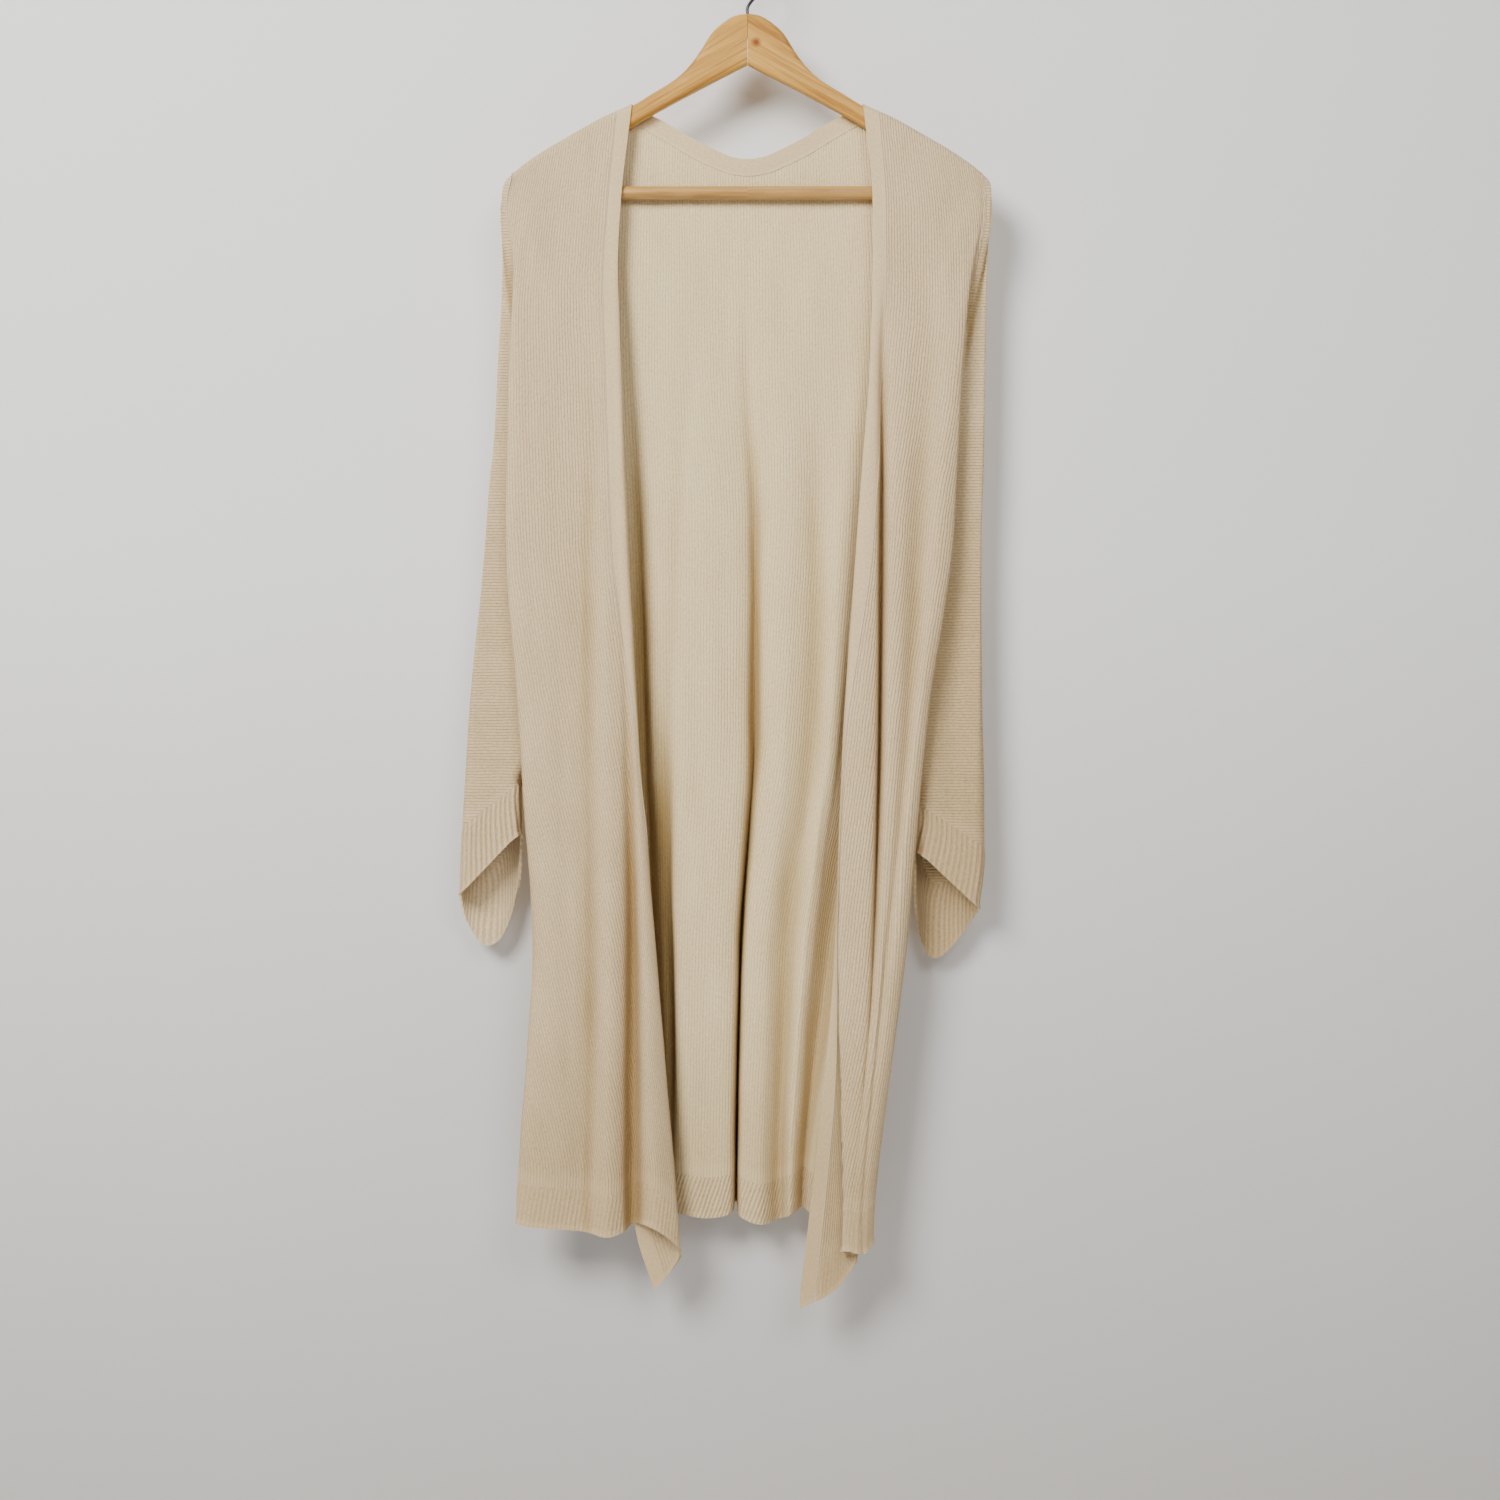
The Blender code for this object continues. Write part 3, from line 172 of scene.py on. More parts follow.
backFolds = (
    fold("right seam", -1172, -217, (-223, -214, -204, -186, -176, -166, -152, -150),
         (7.4, 11, 15, 10, 4, 4, 4, 4)),
    fold("right side", -1174, -200, (-206, -198, -188, -170, -161, -154, -141, -140),
         (8.6, 13, 18, 20, 16, 20, 24, 24)),
    fold("hidden valley", -1176, -180, (-182, -176, -166, -150, -142, -136, -128, -128),
         (9, 13, 18, 26, 32, 40, 42, 42)),
    fold("hidden ridge", -1172, -156, (-158, -152, -144, -130, -122, -116, -110, -110),
         (9, 11, 13, 15, 16, 17, 18, 18)),
    fold("deep valley", -1176, -123, (-125, -118, -110, -102, -97, -92, -87, -87),
         (9, 11, 15, 24, 33, 42, 46, 46)),
    fold("right neck", -1177, -120.4, (-120, -113, -105, -97.5, -93, -89, -83, -83),
         (9, 10.6, 13.6, 20, 27, 34, 37, 37)),
    fold("right neck side", -1178, -115, (-113, -106, -97, -90, -88, -85, -78, -78),
         (9, 10, 11.6, 15, 19, 23, 24, 24)),
    fold("column edge", -1179, -76, (-76, -70, -62, -65, -72, -70, -61, -61),
         (9, 9, 9, 10, 11, 11, 10, 10)),
    fold("column face", -1182, -36, (-38, -36, -34, -36, -40, -41, -37, -37),
         (9, 9, 8.5, 6.5, 6, 7, 8, 8)),
    fold("gap right", -1179, -12, (-12, -11, -10, -2, -3, -13, -16.5, -16.5),
         (9, 9, 9.5, 11, 12, 10, 10, 10)),
    fold("middle gap", -1174, 0, (0, 0, 0, 7, 6, -7, -11, -11),
         (9, 9.5, 12, 19, 28, 40, 43, 43)),
    fold("gap left", -1182, 12, (12, 12, 11, 16, 15, -1, -5.5, -5.5),
         (9, 9, 9.5, 11, 12, 11, 11, 11)),
    fold("left face", -1188, 38, (38, 38, 38, 38, 34, 18, 12, 12),
         (9, 9, 8.5, 7, 6, 6.5, 7, 7)),
    fold("left shallow", -1186, 66, (66, 67, 68, 68, 62, 38, 30, 30),
         (9, 9, 10, 14, 17, 20, 24, 24)),
    fold("left ridge", -1180, 96, (98, 98, 94, 86, 77, 52, 39, 39),
         (9, 9.5, 10, 9, 8, 8, 9, 9)),
    fold("left neck side", -1179, 115, (113, 111, 106, 95, 83, 57, 42.5, 42.5),
         (9, 9.7, 11, 11, 10.5, 10.5, 11.5, 11.5)),
    fold("left neck", -1178, 120.4, (120, 117, 112, 99, 86, 60.5, 44.5, 44.5),
         (9, 10, 12, 13.5, 13.5, 14, 15, 15)),
    fold("left corner", -1177, 123, (125, 122, 116, 103, 89, 63.5, 46.5, 46.5),
         (9, 10.4, 13, 16, 17, 18, 19, 19)),
    fold("left side", -1175, 160, (162, 156, 146, 124, 106, 76, 51, 51),
         (9, 12, 16, 22, 24, 26, 26, 26)),
    fold("left seam", -1178, 217, (221, 211, 190, 160, 130, 95, 60, 58),
         (7.4, 11, 15, 10, 4, 4, 5, 5)),
)

# Rings of a sleeve: the outer and inner ends of each, how far its back half sags, and where most.
ring = namedtuple("ring", "overX overZ underX underZ drop lean blunt")
sleeveRightRings = (
    ring(-217.4, -209.5, -184, -560, 0, 1.0, 0.7),
    ring(-226.2, -222, -187, -590, 0, 1.0, 0.7),
    ring(-228.5, -300, -190, -640, 2, 1.0, 0.7),
    ring(-233, -400, -194, -690, 10, 1.0, 0.7),
    ring(-246, -560, -201, -730, 24, 1.0, 0.7),
    ring(-259, -700, -208, -762, 42, 1.0, 0.7),
    ring(-266, -816, -213, -776, 58, 1.15, 0.6),
    ring(-268, -880, -213, -822, 79, 1.35, 0.4),
)
sleeveLeftRings = (
    ring(217.4, -209.5, 157, -560, 0, 1.0, 0.7),
    ring(225.2, -222, 158, -590, 0, 1.0, 0.7),
    ring(223.5, -300, 160, -640, 2, 1.0, 0.7),
    ring(221.5, -400, 162, -690, 10, 1.1, 0.7),
    ring(219, -560, 161, -735, 26, 1.3, 0.7),
    ring(219.5, -700, 159, -775, 46, 1.6, 0.7),
    ring(221, -835, 158, -795, 64, 2.1, 0.55),
    ring(216, -893, 158, -838, 88, 2.6, 0.32),
)
# How far back a sleeve hangs, by height: height, middle y, half depth.
sleeveDepth = (
    (-200, 0, 8.4), (-240, 0.3, 8.4), (-290, 9, 6.3), (-340, 12, 5.6), (-600, 13.5, 6.5),
    (-700, 14, 9), (-800, 14, 12), (-850, 13, 13.5), (-950, 13, 14.5),
)


# Curves through the tables.
def steady(at, stations, values):
    x = np.asarray(stations, float)
    v = np.asarray(values, float)
    step = np.diff(x)
    rise = np.diff(v) / step
    slope = np.zeros(len(x))
    for i in range(1, len(x) - 1):
        if rise[i - 1] * rise[i] > 0:
            a = 2 * step[i] + step[i - 1]
            b = step[i] + 2 * step[i - 1]
            slope[i] = (a + b) / (a / rise[i - 1] + b / rise[i])
    slope[0] = rise[0]
    slope[-1] = rise[-1]
    at = np.clip(at, x[0], x[-1])
    k = np.clip(np.searchsorted(x, at, side="right") - 1, 0, len(step) - 1)
    t = (at - x[k]) / step[k]
    near = v[k] * (1 + 2 * t) * (1 - t) ** 2 + slope[k] * step[k] * t * (1 - t) ** 2
    far = v[k + 1] * t * t * (3 - 2 * t) + slope[k + 1] * step[k] * t * t * (t - 1)
    return near + far


def ease(t):
    t = np.clip(t, 0.0, 1.0)
    return t * t * (3 - 2 * t)


def tableCurve(points, at):
    return steady(at, [p[0] for p in points], [p[1] for p in points])


def byHeight(table, z, column):
    return steady(-np.asarray(z), [-row[0] for row in table], [row[column] for row in table])


def shoulder(x):
    outer = armTopInner[-1:] + armTopOuter + armTip[:1]
    x = np.abs(x)
    slope = tableCurve(outer, x - 1) - tableCurve(outer, x + 1)
    return tableCurve(outer, x) + (restGap + wall / 2) * np.hypot(1, slope / 2)


def archDepthAt(drop):
    share = np.clip(drop / archDrop, 0.0, 1.0)
    return archFlat + archRadius * np.sqrt(1 - (1 - share) ** 2)


def neckCurve(table, endX):
    points = list(table) + [(endX, float(shoulder(endX)))]
    return [(-x, z) for x, z in points[:0:-1]] + points


def backTop(x):
    end = neckHalfWidth + bandWidth
    if abs(x) >= end:
        return float(shoulder(x))
    return float(tableCurve(neckCurve(neckSeam, end), x))


def frontTop(x):
    return float(shoulder(x))


def backDepth(x, z):
    drop = shoulder(np.maximum(np.abs(x), armTopOuter[0][0])) - z
    return np.maximum(archDepthAt(np.maximum(drop, 0.0)), seamGap / 2)


def foldPoints(line, z, topZ, face):
    start = max(topZ - archDrop, heights[0] + settleOver)
    y = steady(-z, [-h for h in (start, *heights)], (face * archDepth, *line.y))
    x = steady(-z, [-h for h in (topZ, *heights)], (line.top, *line.x))
    return np.stack([x, y, z], axis=-1)


def rowHeights(line, top):
    start = top - archDrop
    rib = line.hem + hemRibHeight
    rows = [top] + [top - archDrop * (1 - math.cos(a)) for a in archTurns]
    rows += [start + (underarm - start) * r / rowsToUnderarm for r in range(1, rowsToUnderarm + 1)]
    rows += [underarm + (rib - underarm) * r / rowsBelow for r in range(1, rowsBelow + 1)]
    return np.array(rows + [rib + (line.hem - rib) * r / ribRows for r in range(1, ribRows + 1)])


# A centripetal curve through every row of knots at once.
def curvesThrough(knots, steps):
    knots = np.concatenate(
        [2 * knots[:, :1] - knots[:, 1:2], knots, 2 * knots[:, -1:] - knots[:, -2:-1]], axis=1
    )
    dense = [knots[:, 1]]
    for i in range(1, knots.shape[1] - 2):
        p = [knots[:, i + k] for k in (-1, 0, 1, 2)]
        t = [np.zeros((len(knots), 1))]
        for a, b in zip(p, p[1:]):
            gap = np.maximum(np.linalg.norm(b - a, axis=1, keepdims=True), 1e-3)
            t.append(t[-1] + gap ** 0.5)
        for s in range(1, steps + 1):
            at = t[1] + (t[2] - t[1]) * s / steps
            a1 = p[0] + (p[1] - p[0]) * (at - t[0]) / (t[1] - t[0])
            a2 = p[1] + (p[2] - p[1]) * (at - t[1]) / (t[2] - t[1])
            a3 = p[2] + (p[3] - p[2]) * (at - t[2]) / (t[3] - t[2])
            b1 = a1 + (a2 - a1) * (at - t[0]) / (t[2] - t[0])
            b2 = a2 + (a3 - a2) * (at - t[1]) / (t[3] - t[1])
            dense.append(b1 + (b2 - b1) * (at - t[1]) / (t[2] - t[1]))
    return np.stack(dense, axis=1)


def lengthsAcross(points):
    steps = np.linalg.norm(np.diff(points, axis=1), axis=2)
    return np.concatenate([np.zeros((len(points), 1)), np.cumsum(steps, axis=1)], axis=1)


def placedAt(points, lengths, marks):
    rows = [
        np.stack([np.interp(marks[r], lengths[r], points[r, :, k]) for k in range(3)], axis=-1)
        for r in range(len(points))
    ]
    return np.array(rows)


def unitNormals(grid, closed=False):
    if closed:
        across = np.roll(grid, -1, axis=1) - np.roll(grid, 1, axis=1)
    else:
        across = np.gradient(grid, axis=1)
    n = np.cross(across, np.gradient(grid, axis=0))
    return n / np.maximum(np.linalg.norm(n, axis=2, keepdims=True), 1e-9)


def drawIn(grid, axis, index, distance):
    edge = [slice(None)] * 3
    inner = [slice(None)] * 3
    edge[axis] = index
    inner[axis] = 1 if index == 0 else -2
    step = grid[tuple(inner)] - grid[tuple(edge)]
    length = np.maximum(np.linalg.norm(step, axis=1, keepdims=True), 1e-6)
    grid[tuple(edge)] += step / length * distance


# Painted shade of the folds and towards the hem, and creases and unevenness.
foldValues = {
    "reach": 20.0, "from": 2.2, "over": 12.0, "foldShadeTint": (0.54, 0.46, 0.31),
    # These hem values paint shade on the lower cloth, darker towards the hem.
    "paintedHemShade": 0.3, "hemFrom": -960.0, "hemOver": 200.0,
}
crease = namedtuple("crease", "x1 z1 x2 z2 height width")
reliefValues = {
    "broadSway": 0.42, "fineSway": 0.22, "crossSway": 0.16, "creaseBend": 3.0, "creaseSwell": 0.3,
    "plainTop": 14.0, "topOver": 50.0, "sideColumns": 8,
}


def relief(grid, creases, amount):
    x, z = grid[..., 0], grid[..., 2]
    broad = np.sin(x / 21 + 1.3 * np.sin(z / 83)) * np.sin(z / 52 + 0.9 * np.sin(x / 33))
    fine = np.sin(x / 8.5 + z / 140 + 1.1 * np.sin(z / 61))
    cross = np.sin(z / 15 + x / 27) * np.sin(x / 31 + 2.0)
    lift = reliefValues["broadSway"] * broad + reliefValues["fineSway"] * fine
    lift += reliefValues["crossSway"] * cross
    lift *= amount
    for number, c in enumerate(creases):
        ax, az = c.x2 - c.x1, c.z2 - c.z1
        t = np.clip(((x - c.x1) * ax + (z - c.z1) * az) / (ax * ax + az * az), 0, 1)
        bend = reliefValues["creaseBend"] * np.sin(math.pi * t + number)
        away = np.hypot(x - c.x1 - ax * t + bend * (1 - t) * t * 4, z - c.z1 - az * t)
        uneven = 1 + reliefValues["creaseSwell"] * np.sin(7 * t + number * 1.7)
        lift += c.height * uneven * np.exp(-((away / c.width) ** 2)) * np.sin(math.pi * (0.02 + 0.96 * t))
    return lift


def newObject(name, mesh, finish):
    obj = bpy.data.objects.new(name, mesh)
    bpy.context.scene.collection.objects.link(obj)
    mesh.materials.clear()
    mesh.materials.append(finish)
    return obj


def finishedMesh(obj):
    bpy.context.view_layer.update()
    graph = bpy.context.evaluated_depsgraph_get()
    return bpy.data.meshes.new_from_object(obj.evaluated_get(graph))


# How deep each point lies in a fold, 0 to 1, seen from the front and from behind; the knit paints it into its
# colour as painted shade.
def foldShade(grid):
    x, y = grid[..., 0], grid[..., 1]
    near = np.abs(x[:, :, None] - x[:, None, :]) < foldValues["reach"]
    front = np.where(near, y[:, None, :], 1e3).min(axis=2)
    behind = np.where(near, y[:, None, :], -1e3).max(axis=2)
    seenInFront = ease((y - front - foldValues["from"]) / foldValues["over"])
    seenBehind = ease((behind - y - foldValues["from"]) / foldValues["over"])
    return seenInFront, seenBehind


def closedLoop(grid):
    return np.concatenate([grid, grid[:, :1]], axis=1)


def lengthsDown(grid):
    down = np.cumsum(np.linalg.norm(np.diff(grid, axis=0), axis=2), axis=0)
    return np.concatenate([np.zeros((1, grid.shape[1])), down])


def unitVectors(vectors):
    return vectors / np.linalg.norm(vectors, axis=2, keepdims=True)


# A closed wall on a grid of middle points. lift raises its outer skin and thick is its thickness. shaded
# scales the painted shade of its folds, and the last argument is a tube's least painted shade, outside and
# inside.
def knitWall(name, grid, normals, uv, finish, closed=False, lift=0.0, thick=None, shaded=1.0, veil=(0, 0)):
    rows, cols = grid.shape[:2]
    across = np.roll(grid, -1, axis=1) - grid if closed else np.gradient(grid, axis=1)
    ahead = (np.cross(across, np.gradient(grid, axis=0)) * normals).sum() > 0
    thick = wall if thick is None else thick
    half = np.broadcast_to(np.asarray(thick, float) / 2, (rows, cols))[..., None]
    lift = np.broadcast_to(np.asarray(lift, float), (rows, cols))[..., None]
    outer = grid + normals * (half + lift)
    inner = grid - normals * half
    verts = np.concatenate([outer.reshape(-1, 3), inner.reshape(-1, 3)]) * mm
    index = np.arange(rows * cols).reshape(rows, cols)
    a = index if closed else index[:, :-1]
    b = np.roll(index, -1, axis=1) if closed else index[:, 1:]
    skin = np.stack([a[:-1], b[:-1], b[1:], a[1:]], axis=-1).reshape(-1, 4)
    count = rows * cols
    top = np.stack([b[0], a[0], a[0] + count, b[0] + count], axis=-1)
    bottom = np.stack([a[-1], b[-1], b[-1] + count, a[-1] + count], axis=-1)
    parts = [skin, skin[:, ::-1] + count, top, bottom]
    if not closed:
        left, right = index[:, 0], index[:, -1]
        parts.append(np.stack([left[:-1], left[1:], left[1:] + count, left[:-1] + count], axis=-1))
        parts.append(np.stack([right[1:], right[:-1], right[:-1] + count, right[1:] + count], axis=-1))
    faces = np.concatenate(parts)
    if not ahead:
        faces = faces[:, ::-1]
    mesh = bpy.data.meshes.new(name)
    mesh.vertices.add(len(verts))
    mesh.vertices.foreach_set("co", verts.ravel())
    mesh.loops.add(faces.size)
    mesh.loops.foreach_set("vertex_index", faces.ravel())
    mesh.polygons.add(len(faces))
    mesh.polygons.foreach_set("loop_start", np.arange(0, faces.size, 4))
    mesh.update(calc_edges=True)
    layer = mesh.uv_layers.new(name="knit")
    both = np.concatenate([uv.reshape(-1, 2), uv.reshape(-1, 2)]) * mm
    layer.data.foreach_set("uv", both[faces.ravel()].ravel())
    lip = mesh.attributes.new("lip", "FLOAT", "POINT")
    edge = np.zeros((rows, cols))
    edge[-2:] = 1.0
    lip.data.foreach_set("value", np.concatenate([edge.ravel(), edge.ravel()]).astype(np.float32))
    # Painted shade kept for the knit's colour, from how deep each point lies in a fold.
    shade = mesh.attributes.new("foldShade", "FLOAT", "POINT")
    seenInFront, seenBehind = [side * shaded for side in foldShade(grid)]
    facingFront = (normals[..., 1] < 0).mean() > 0.5
    sides = (seenInFront, seenBehind) if facingFront else (seenBehind, seenInFront)
    # A tube is painted with at least its least painted shade on its front outside, and evenly inside.
    if closed:
        inside = np.zeros((rows, cols)) + veil[1]
        sides = (np.where(normals[..., 1] < 0, np.maximum(seenInFront, veil[0]), 0), inside)
    else:
        # Open pieces are painted darker towards the hem, as painted shade for the light falling off
        # downwards.
        paintedHemShade = foldValues["paintedHemShade"] * ease((foldValues["hemFrom"] - grid[..., 2]) / foldValues["hemOver"])
        sides = [np.maximum(side, paintedHemShade) for side in sides]
    shade.data.foreach_set("value", np.concatenate([side.ravel() for side in sides]).astype(np.float32))
    mesh.validate()
    mesh.shade_smooth()
    mesh.set_sharp_from_angle(angle=sharpAngles["knit"])
    return newObject(name, mesh, finish)


# Puts a piece in the place of its solid, on the one body.
def standFor(obj, node):
    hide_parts(node)
    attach(obj, "root")


# Puts a piece in the place of its solid and prints its flat cut. The cut is as wide as its widest row and as
# long as its longest column; a tube's is its area divided by its length.
def dress(obj, node, grid, closed=False):
    standFor(obj, node)
    loop = closedLoop(grid) if closed else grid
    width = np.linalg.norm(np.diff(loop, axis=1), axis=2).sum(axis=1).max()
    length = np.linalg.norm(np.diff(loop, axis=0), axis=2).sum(axis=0).max()
    sides = np.cross(loop[1:, 1:] - loop[:-1, :-1], loop[1:, :-1] - loop[:-1, 1:])
    area = np.linalg.norm(sides, axis=2).sum() / 2
    if closed:
        width = area / length
    area = min(area, width * length)
    print(f"{obj.name}: cut {width:.0f} x {length:.0f} mm, {area * mm * mm:.3f} square metres")


def resampled(points, count, closed=False):
    loop = closedLoop(points) if closed else points
    lengths = lengthsAcross(loop)
    shares = np.arange(count) / (count if closed else count - 1)
    return placedAt(loop, lengths, lengths[:, -1:] * shares)


# Shader building blocks.
def mathNode(tree, operation, *values):
    node = tree.nodes.new("ShaderNodeMath")
    node.operation = operation
    for slot, value in zip(node.inputs, values):
        if isinstance(value, (int, float)):
            slot.default_value = value
        else:
            tree.links.new(value, slot)
    return node.outputs[0]


def weighted(tree, *pairs):
    total = None
    for value, weight in pairs:
        part = mathNode(tree, "MULTIPLY", value, weight)
        total = part if total is None else mathNode(tree, "ADD", total, part)
    return total


def noiseNode(tree, vector, scale, detail=2.0, rough=0.5, distortion=0.0):
    node = tree.nodes.new("ShaderNodeTexNoise")
    node.inputs["Scale"].default_value = scale
    node.inputs["Detail"].default_value = detail
    node.inputs["Roughness"].default_value = rough
    node.inputs["Distortion"].default_value = distortion
    tree.links.new(vector, node.inputs["Vector"])
    return node.outputs["Fac"]


def stretched(tree, vector, scale):
    node = tree.nodes.new("ShaderNodeVectorMath")
    node.operation = "MULTIPLY"
    node.inputs[1].default_value = scale
    tree.links.new(vector, node.inputs[0])
    return node.outputs[0]


def mixColours(tree, factor, first, second, blend="MIX"):
    node = tree.nodes.new("ShaderNodeMix")
    node.data_type = "RGBA"
    node.blend_type = blend
    for socket, value in ((node.inputs[0], factor), (node.inputs[6], first), (node.inputs[7], second)):
        if isinstance(value, (int, float)):
            socket.default_value = value
        elif isinstance(value, tuple):
            socket.default_value = (*value, 1.0)
        else:
            tree.links.new(value, socket)
    return node.outputs[2]


def rangeNode(tree, value, low, high, toLow=0.0, toHigh=1.0):
    node = tree.nodes.new("ShaderNodeMapRange")
    node.inputs["From Min"].default_value = low
    node.inputs["From Max"].default_value = high
    node.inputs["To Min"].default_value = toLow
    node.inputs["To Max"].default_value = toHigh
    tree.links.new(value, node.inputs["Value"])
    return node.outputs[0]


def shaderGroup(name, inputs, outputs):
    tree = bpy.data.node_groups.new(name, "ShaderNodeTree")
    for label, kind, value in inputs:
        socket = tree.interface.new_socket(name=label, in_out="INPUT", socket_type=kind)
        socket.default_value = value
    for label, kind in outputs:
        tree.interface.new_socket(name=label, in_out="OUTPUT", socket_type=kind)
    return tree, tree.nodes.new("NodeGroupInput"), tree.nodes.new("NodeGroupOutput")


# Stitches of the knit on the piece's own UV: wales across, courses along, with flecks of the yarn. The stitch
# valleys are painted darker as painted shade.
def makeKnitGroup():
    tree, given, result = shaderGroup(
        "knitStitches",
        (
            ("Line Pitch", "NodeSocketFloat", 0.0028),
            ("Stitch Width", "NodeSocketFloat", 0.0014),
            ("Stitch Height", "NodeSocketFloat", 0.0011),
            ("Light Yarn", "NodeSocketColor", (0.7, 0.6, 0.45, 1)),
            ("Dark Yarn", "NodeSocketColor", (0.5, 0.4, 0.28, 1)),
            ("Line Strength", "NodeSocketFloat", 0.5),
        ),
        (("Color", "NodeSocketColor"), ("Height", "NodeSocketFloat"), ("Roughness", "NodeSocketFloat")),
    )
    uvNode = tree.nodes.new("ShaderNodeUVMap")
    uvNode.uv_map = "knit"
    split = tree.nodes.new("ShaderNodeSeparateXYZ")
    tree.links.new(uvNode.outputs[0], split.inputs[0])
    along = split.outputs[1]
    wobble = noiseNode(tree, stretched(tree, uvNode.outputs[0], (90, 45, 1)), 1.0, 3.0)
    across = mathNode(tree, "ADD", split.outputs[0], mathNode(tree, "MULTIPLY", wobble, 0.0022))
    lineTurn = mathNode(tree, "DIVIDE", mathNode(tree, "MULTIPLY", across, 2 * math.pi), given.outputs[0])
    line = rangeNode(tree, mathNode(tree, "COSINE", lineTurn), -1, 1)
    stitch = mathNode(tree, "FRACT", mathNode(tree, "DIVIDE", across, given.outputs[1]))
    side = mathNode(tree, "ABSOLUTE", mathNode(tree, "SUBTRACT", stitch, 0.5))
    squared = mathNode(tree, "MULTIPLY", side, side)
    leg = mathNode(tree, "SUBTRACT", 1.0, mathNode(tree, "MULTIPLY", squared, 4.0))
    course = mathNode(tree, "DIVIDE", along, given.outputs[2])
    slanted = mathNode(tree, "ADD", course, mathNode(tree, "MULTIPLY", side, 1.1))
    vee = rangeNode(tree, mathNode(tree, "COSINE", mathNode(tree, "MULTIPLY", slanted, 2 * math.pi)), -1, 1)
    loop = mathNode(tree, "MULTIPLY", leg, mathNode(tree, "ADD", mathNode(tree, "MULTIPLY", vee, 0.6), 0.4))
    fibre = noiseNode(tree, stretched(tree, uvNode.outputs[0], (2600, 900, 1)), 1.0, 3.0, 0.65)
    height = weighted(tree, (line, given.outputs[5]), (loop, 0.4), (fibre, 0.22))
    fleck = noiseNode(tree, stretched(tree, uvNode.outputs[0], (560, 330, 1)), 1.0, 3.0, 0.7)
    cloud = noiseNode(tree, stretched(tree, uvNode.outputs[0], (34, 12, 1)), 1.0, 3.0, 0.55)
    # The colour follows the stitch height, which paints shade into the stitch valleys, and the yarn's flecks
    # and cloud.
    shade = weighted(tree, (height, 0.45), (fleck, 1.0), (cloud, 0.25))
    yarn = mixColours(tree, rangeNode(tree, shade, 0.42, 1.12), given.outputs[4], given.outputs[3])
    lip = tree.nodes.new("ShaderNodeAttribute")
    lip.attribute_name = "lip"
    lighter = mixColours(tree, mathNode(tree, "MULTIPLY", lip.outputs["Fac"], 0.35), yarn, given.outputs[3])
    # Painted shade of the folds: the yarn colour is multiplied towards a shade tint by the foldShade
    # attribute.
    fold = tree.nodes.new("ShaderNodeAttribute")
    fold.attribute_name = "foldShade"
    shadow = mixColours(tree, fold.outputs["Fac"], (1.0, 1.0, 1.0), foldValues["foldShadeTint"])
    tree.links.new(mixColours(tree, 1.0, lighter, shadow, "MULTIPLY"), result.inputs["Color"])
    tree.links.new(height, result.inputs["Height"])
    tree.links.new(rangeNode(tree, shade, 0.3, 1.1, 0.95, 0.72), result.inputs["Roughness"])
    return tree


def bumped(tree, shader, height, distance, strength=1.0):
    bump = tree.nodes.new("ShaderNodeBump")
    bump.inputs["Distance"].default_value = distance
    bump.inputs["Strength"].default_value = strength
    tree.links.new(height, bump.inputs["Height"])
    tree.links.new(bump.outputs[0], shader.inputs["Normal"])


def painted(tree, shader, colour, roughness):
    tree.links.new(colour, shader.inputs["Base Color"])
    tree.links.new(roughness, shader.inputs["Roughness"])


def objectPlace(tree):
    return tree.nodes.new("ShaderNodeTexCoord").outputs["Object"]


def newMaterial(name):
    made = bpy.data.materials.new(name)
    made.use_nodes = True
    return made, made.node_tree, made.node_tree.nodes["Principled BSDF"]


def knitMaterial(name, values):
    made, tree, shader = newMaterial(name)
    group = tree.nodes.new("ShaderNodeGroup")
    group.node_tree = knitGroup
    for label, key in (
        ("Line Pitch", "linePitch"), ("Stitch Width", "stitchWidth"), ("Stitch Height", "stitchHeight"),
        ("Line Strength", "lineStrength"),
    ):
        group.inputs[label].default_value = values[key]
    group.inputs["Light Yarn"].default_value = (*values["lightYarn"], 1)
    group.inputs["Dark Yarn"].default_value = (*values["darkYarn"], 1)
    painted(tree, shader, group.outputs["Color"], group.outputs["Roughness"])
    bumped(tree, shader, group.outputs["Height"], values["bumpDistance"])
    shader.inputs["Sheen Weight"].default_value = values["sheen"]
    shader.inputs["Sheen Roughness"].default_value = values["sheenRoughness"]
    shader.inputs["Sheen Tint"].default_value = (*values["sheenTint"], 1)
    shader.inputs["Specular IOR Level"].default_value = values["shine"]
    made.diffuse_color = (*values["lightYarn"], 1)
    return made


bodyKnitValues = {
    "linePitch": 0.0028, "stitchWidth": 0.0014, "stitchHeight": 0.0012,
    "lightYarn": (0.83, 0.635, 0.375), "darkYarn": (0.43, 0.3, 0.14), "lineStrength": 0.5,
    "bumpDistance": 0.001, "sheen": 0.05, "sheenRoughness": 0.45, "sheenTint": (1.0, 0.96, 0.88),
    "shine": 0.25,
}
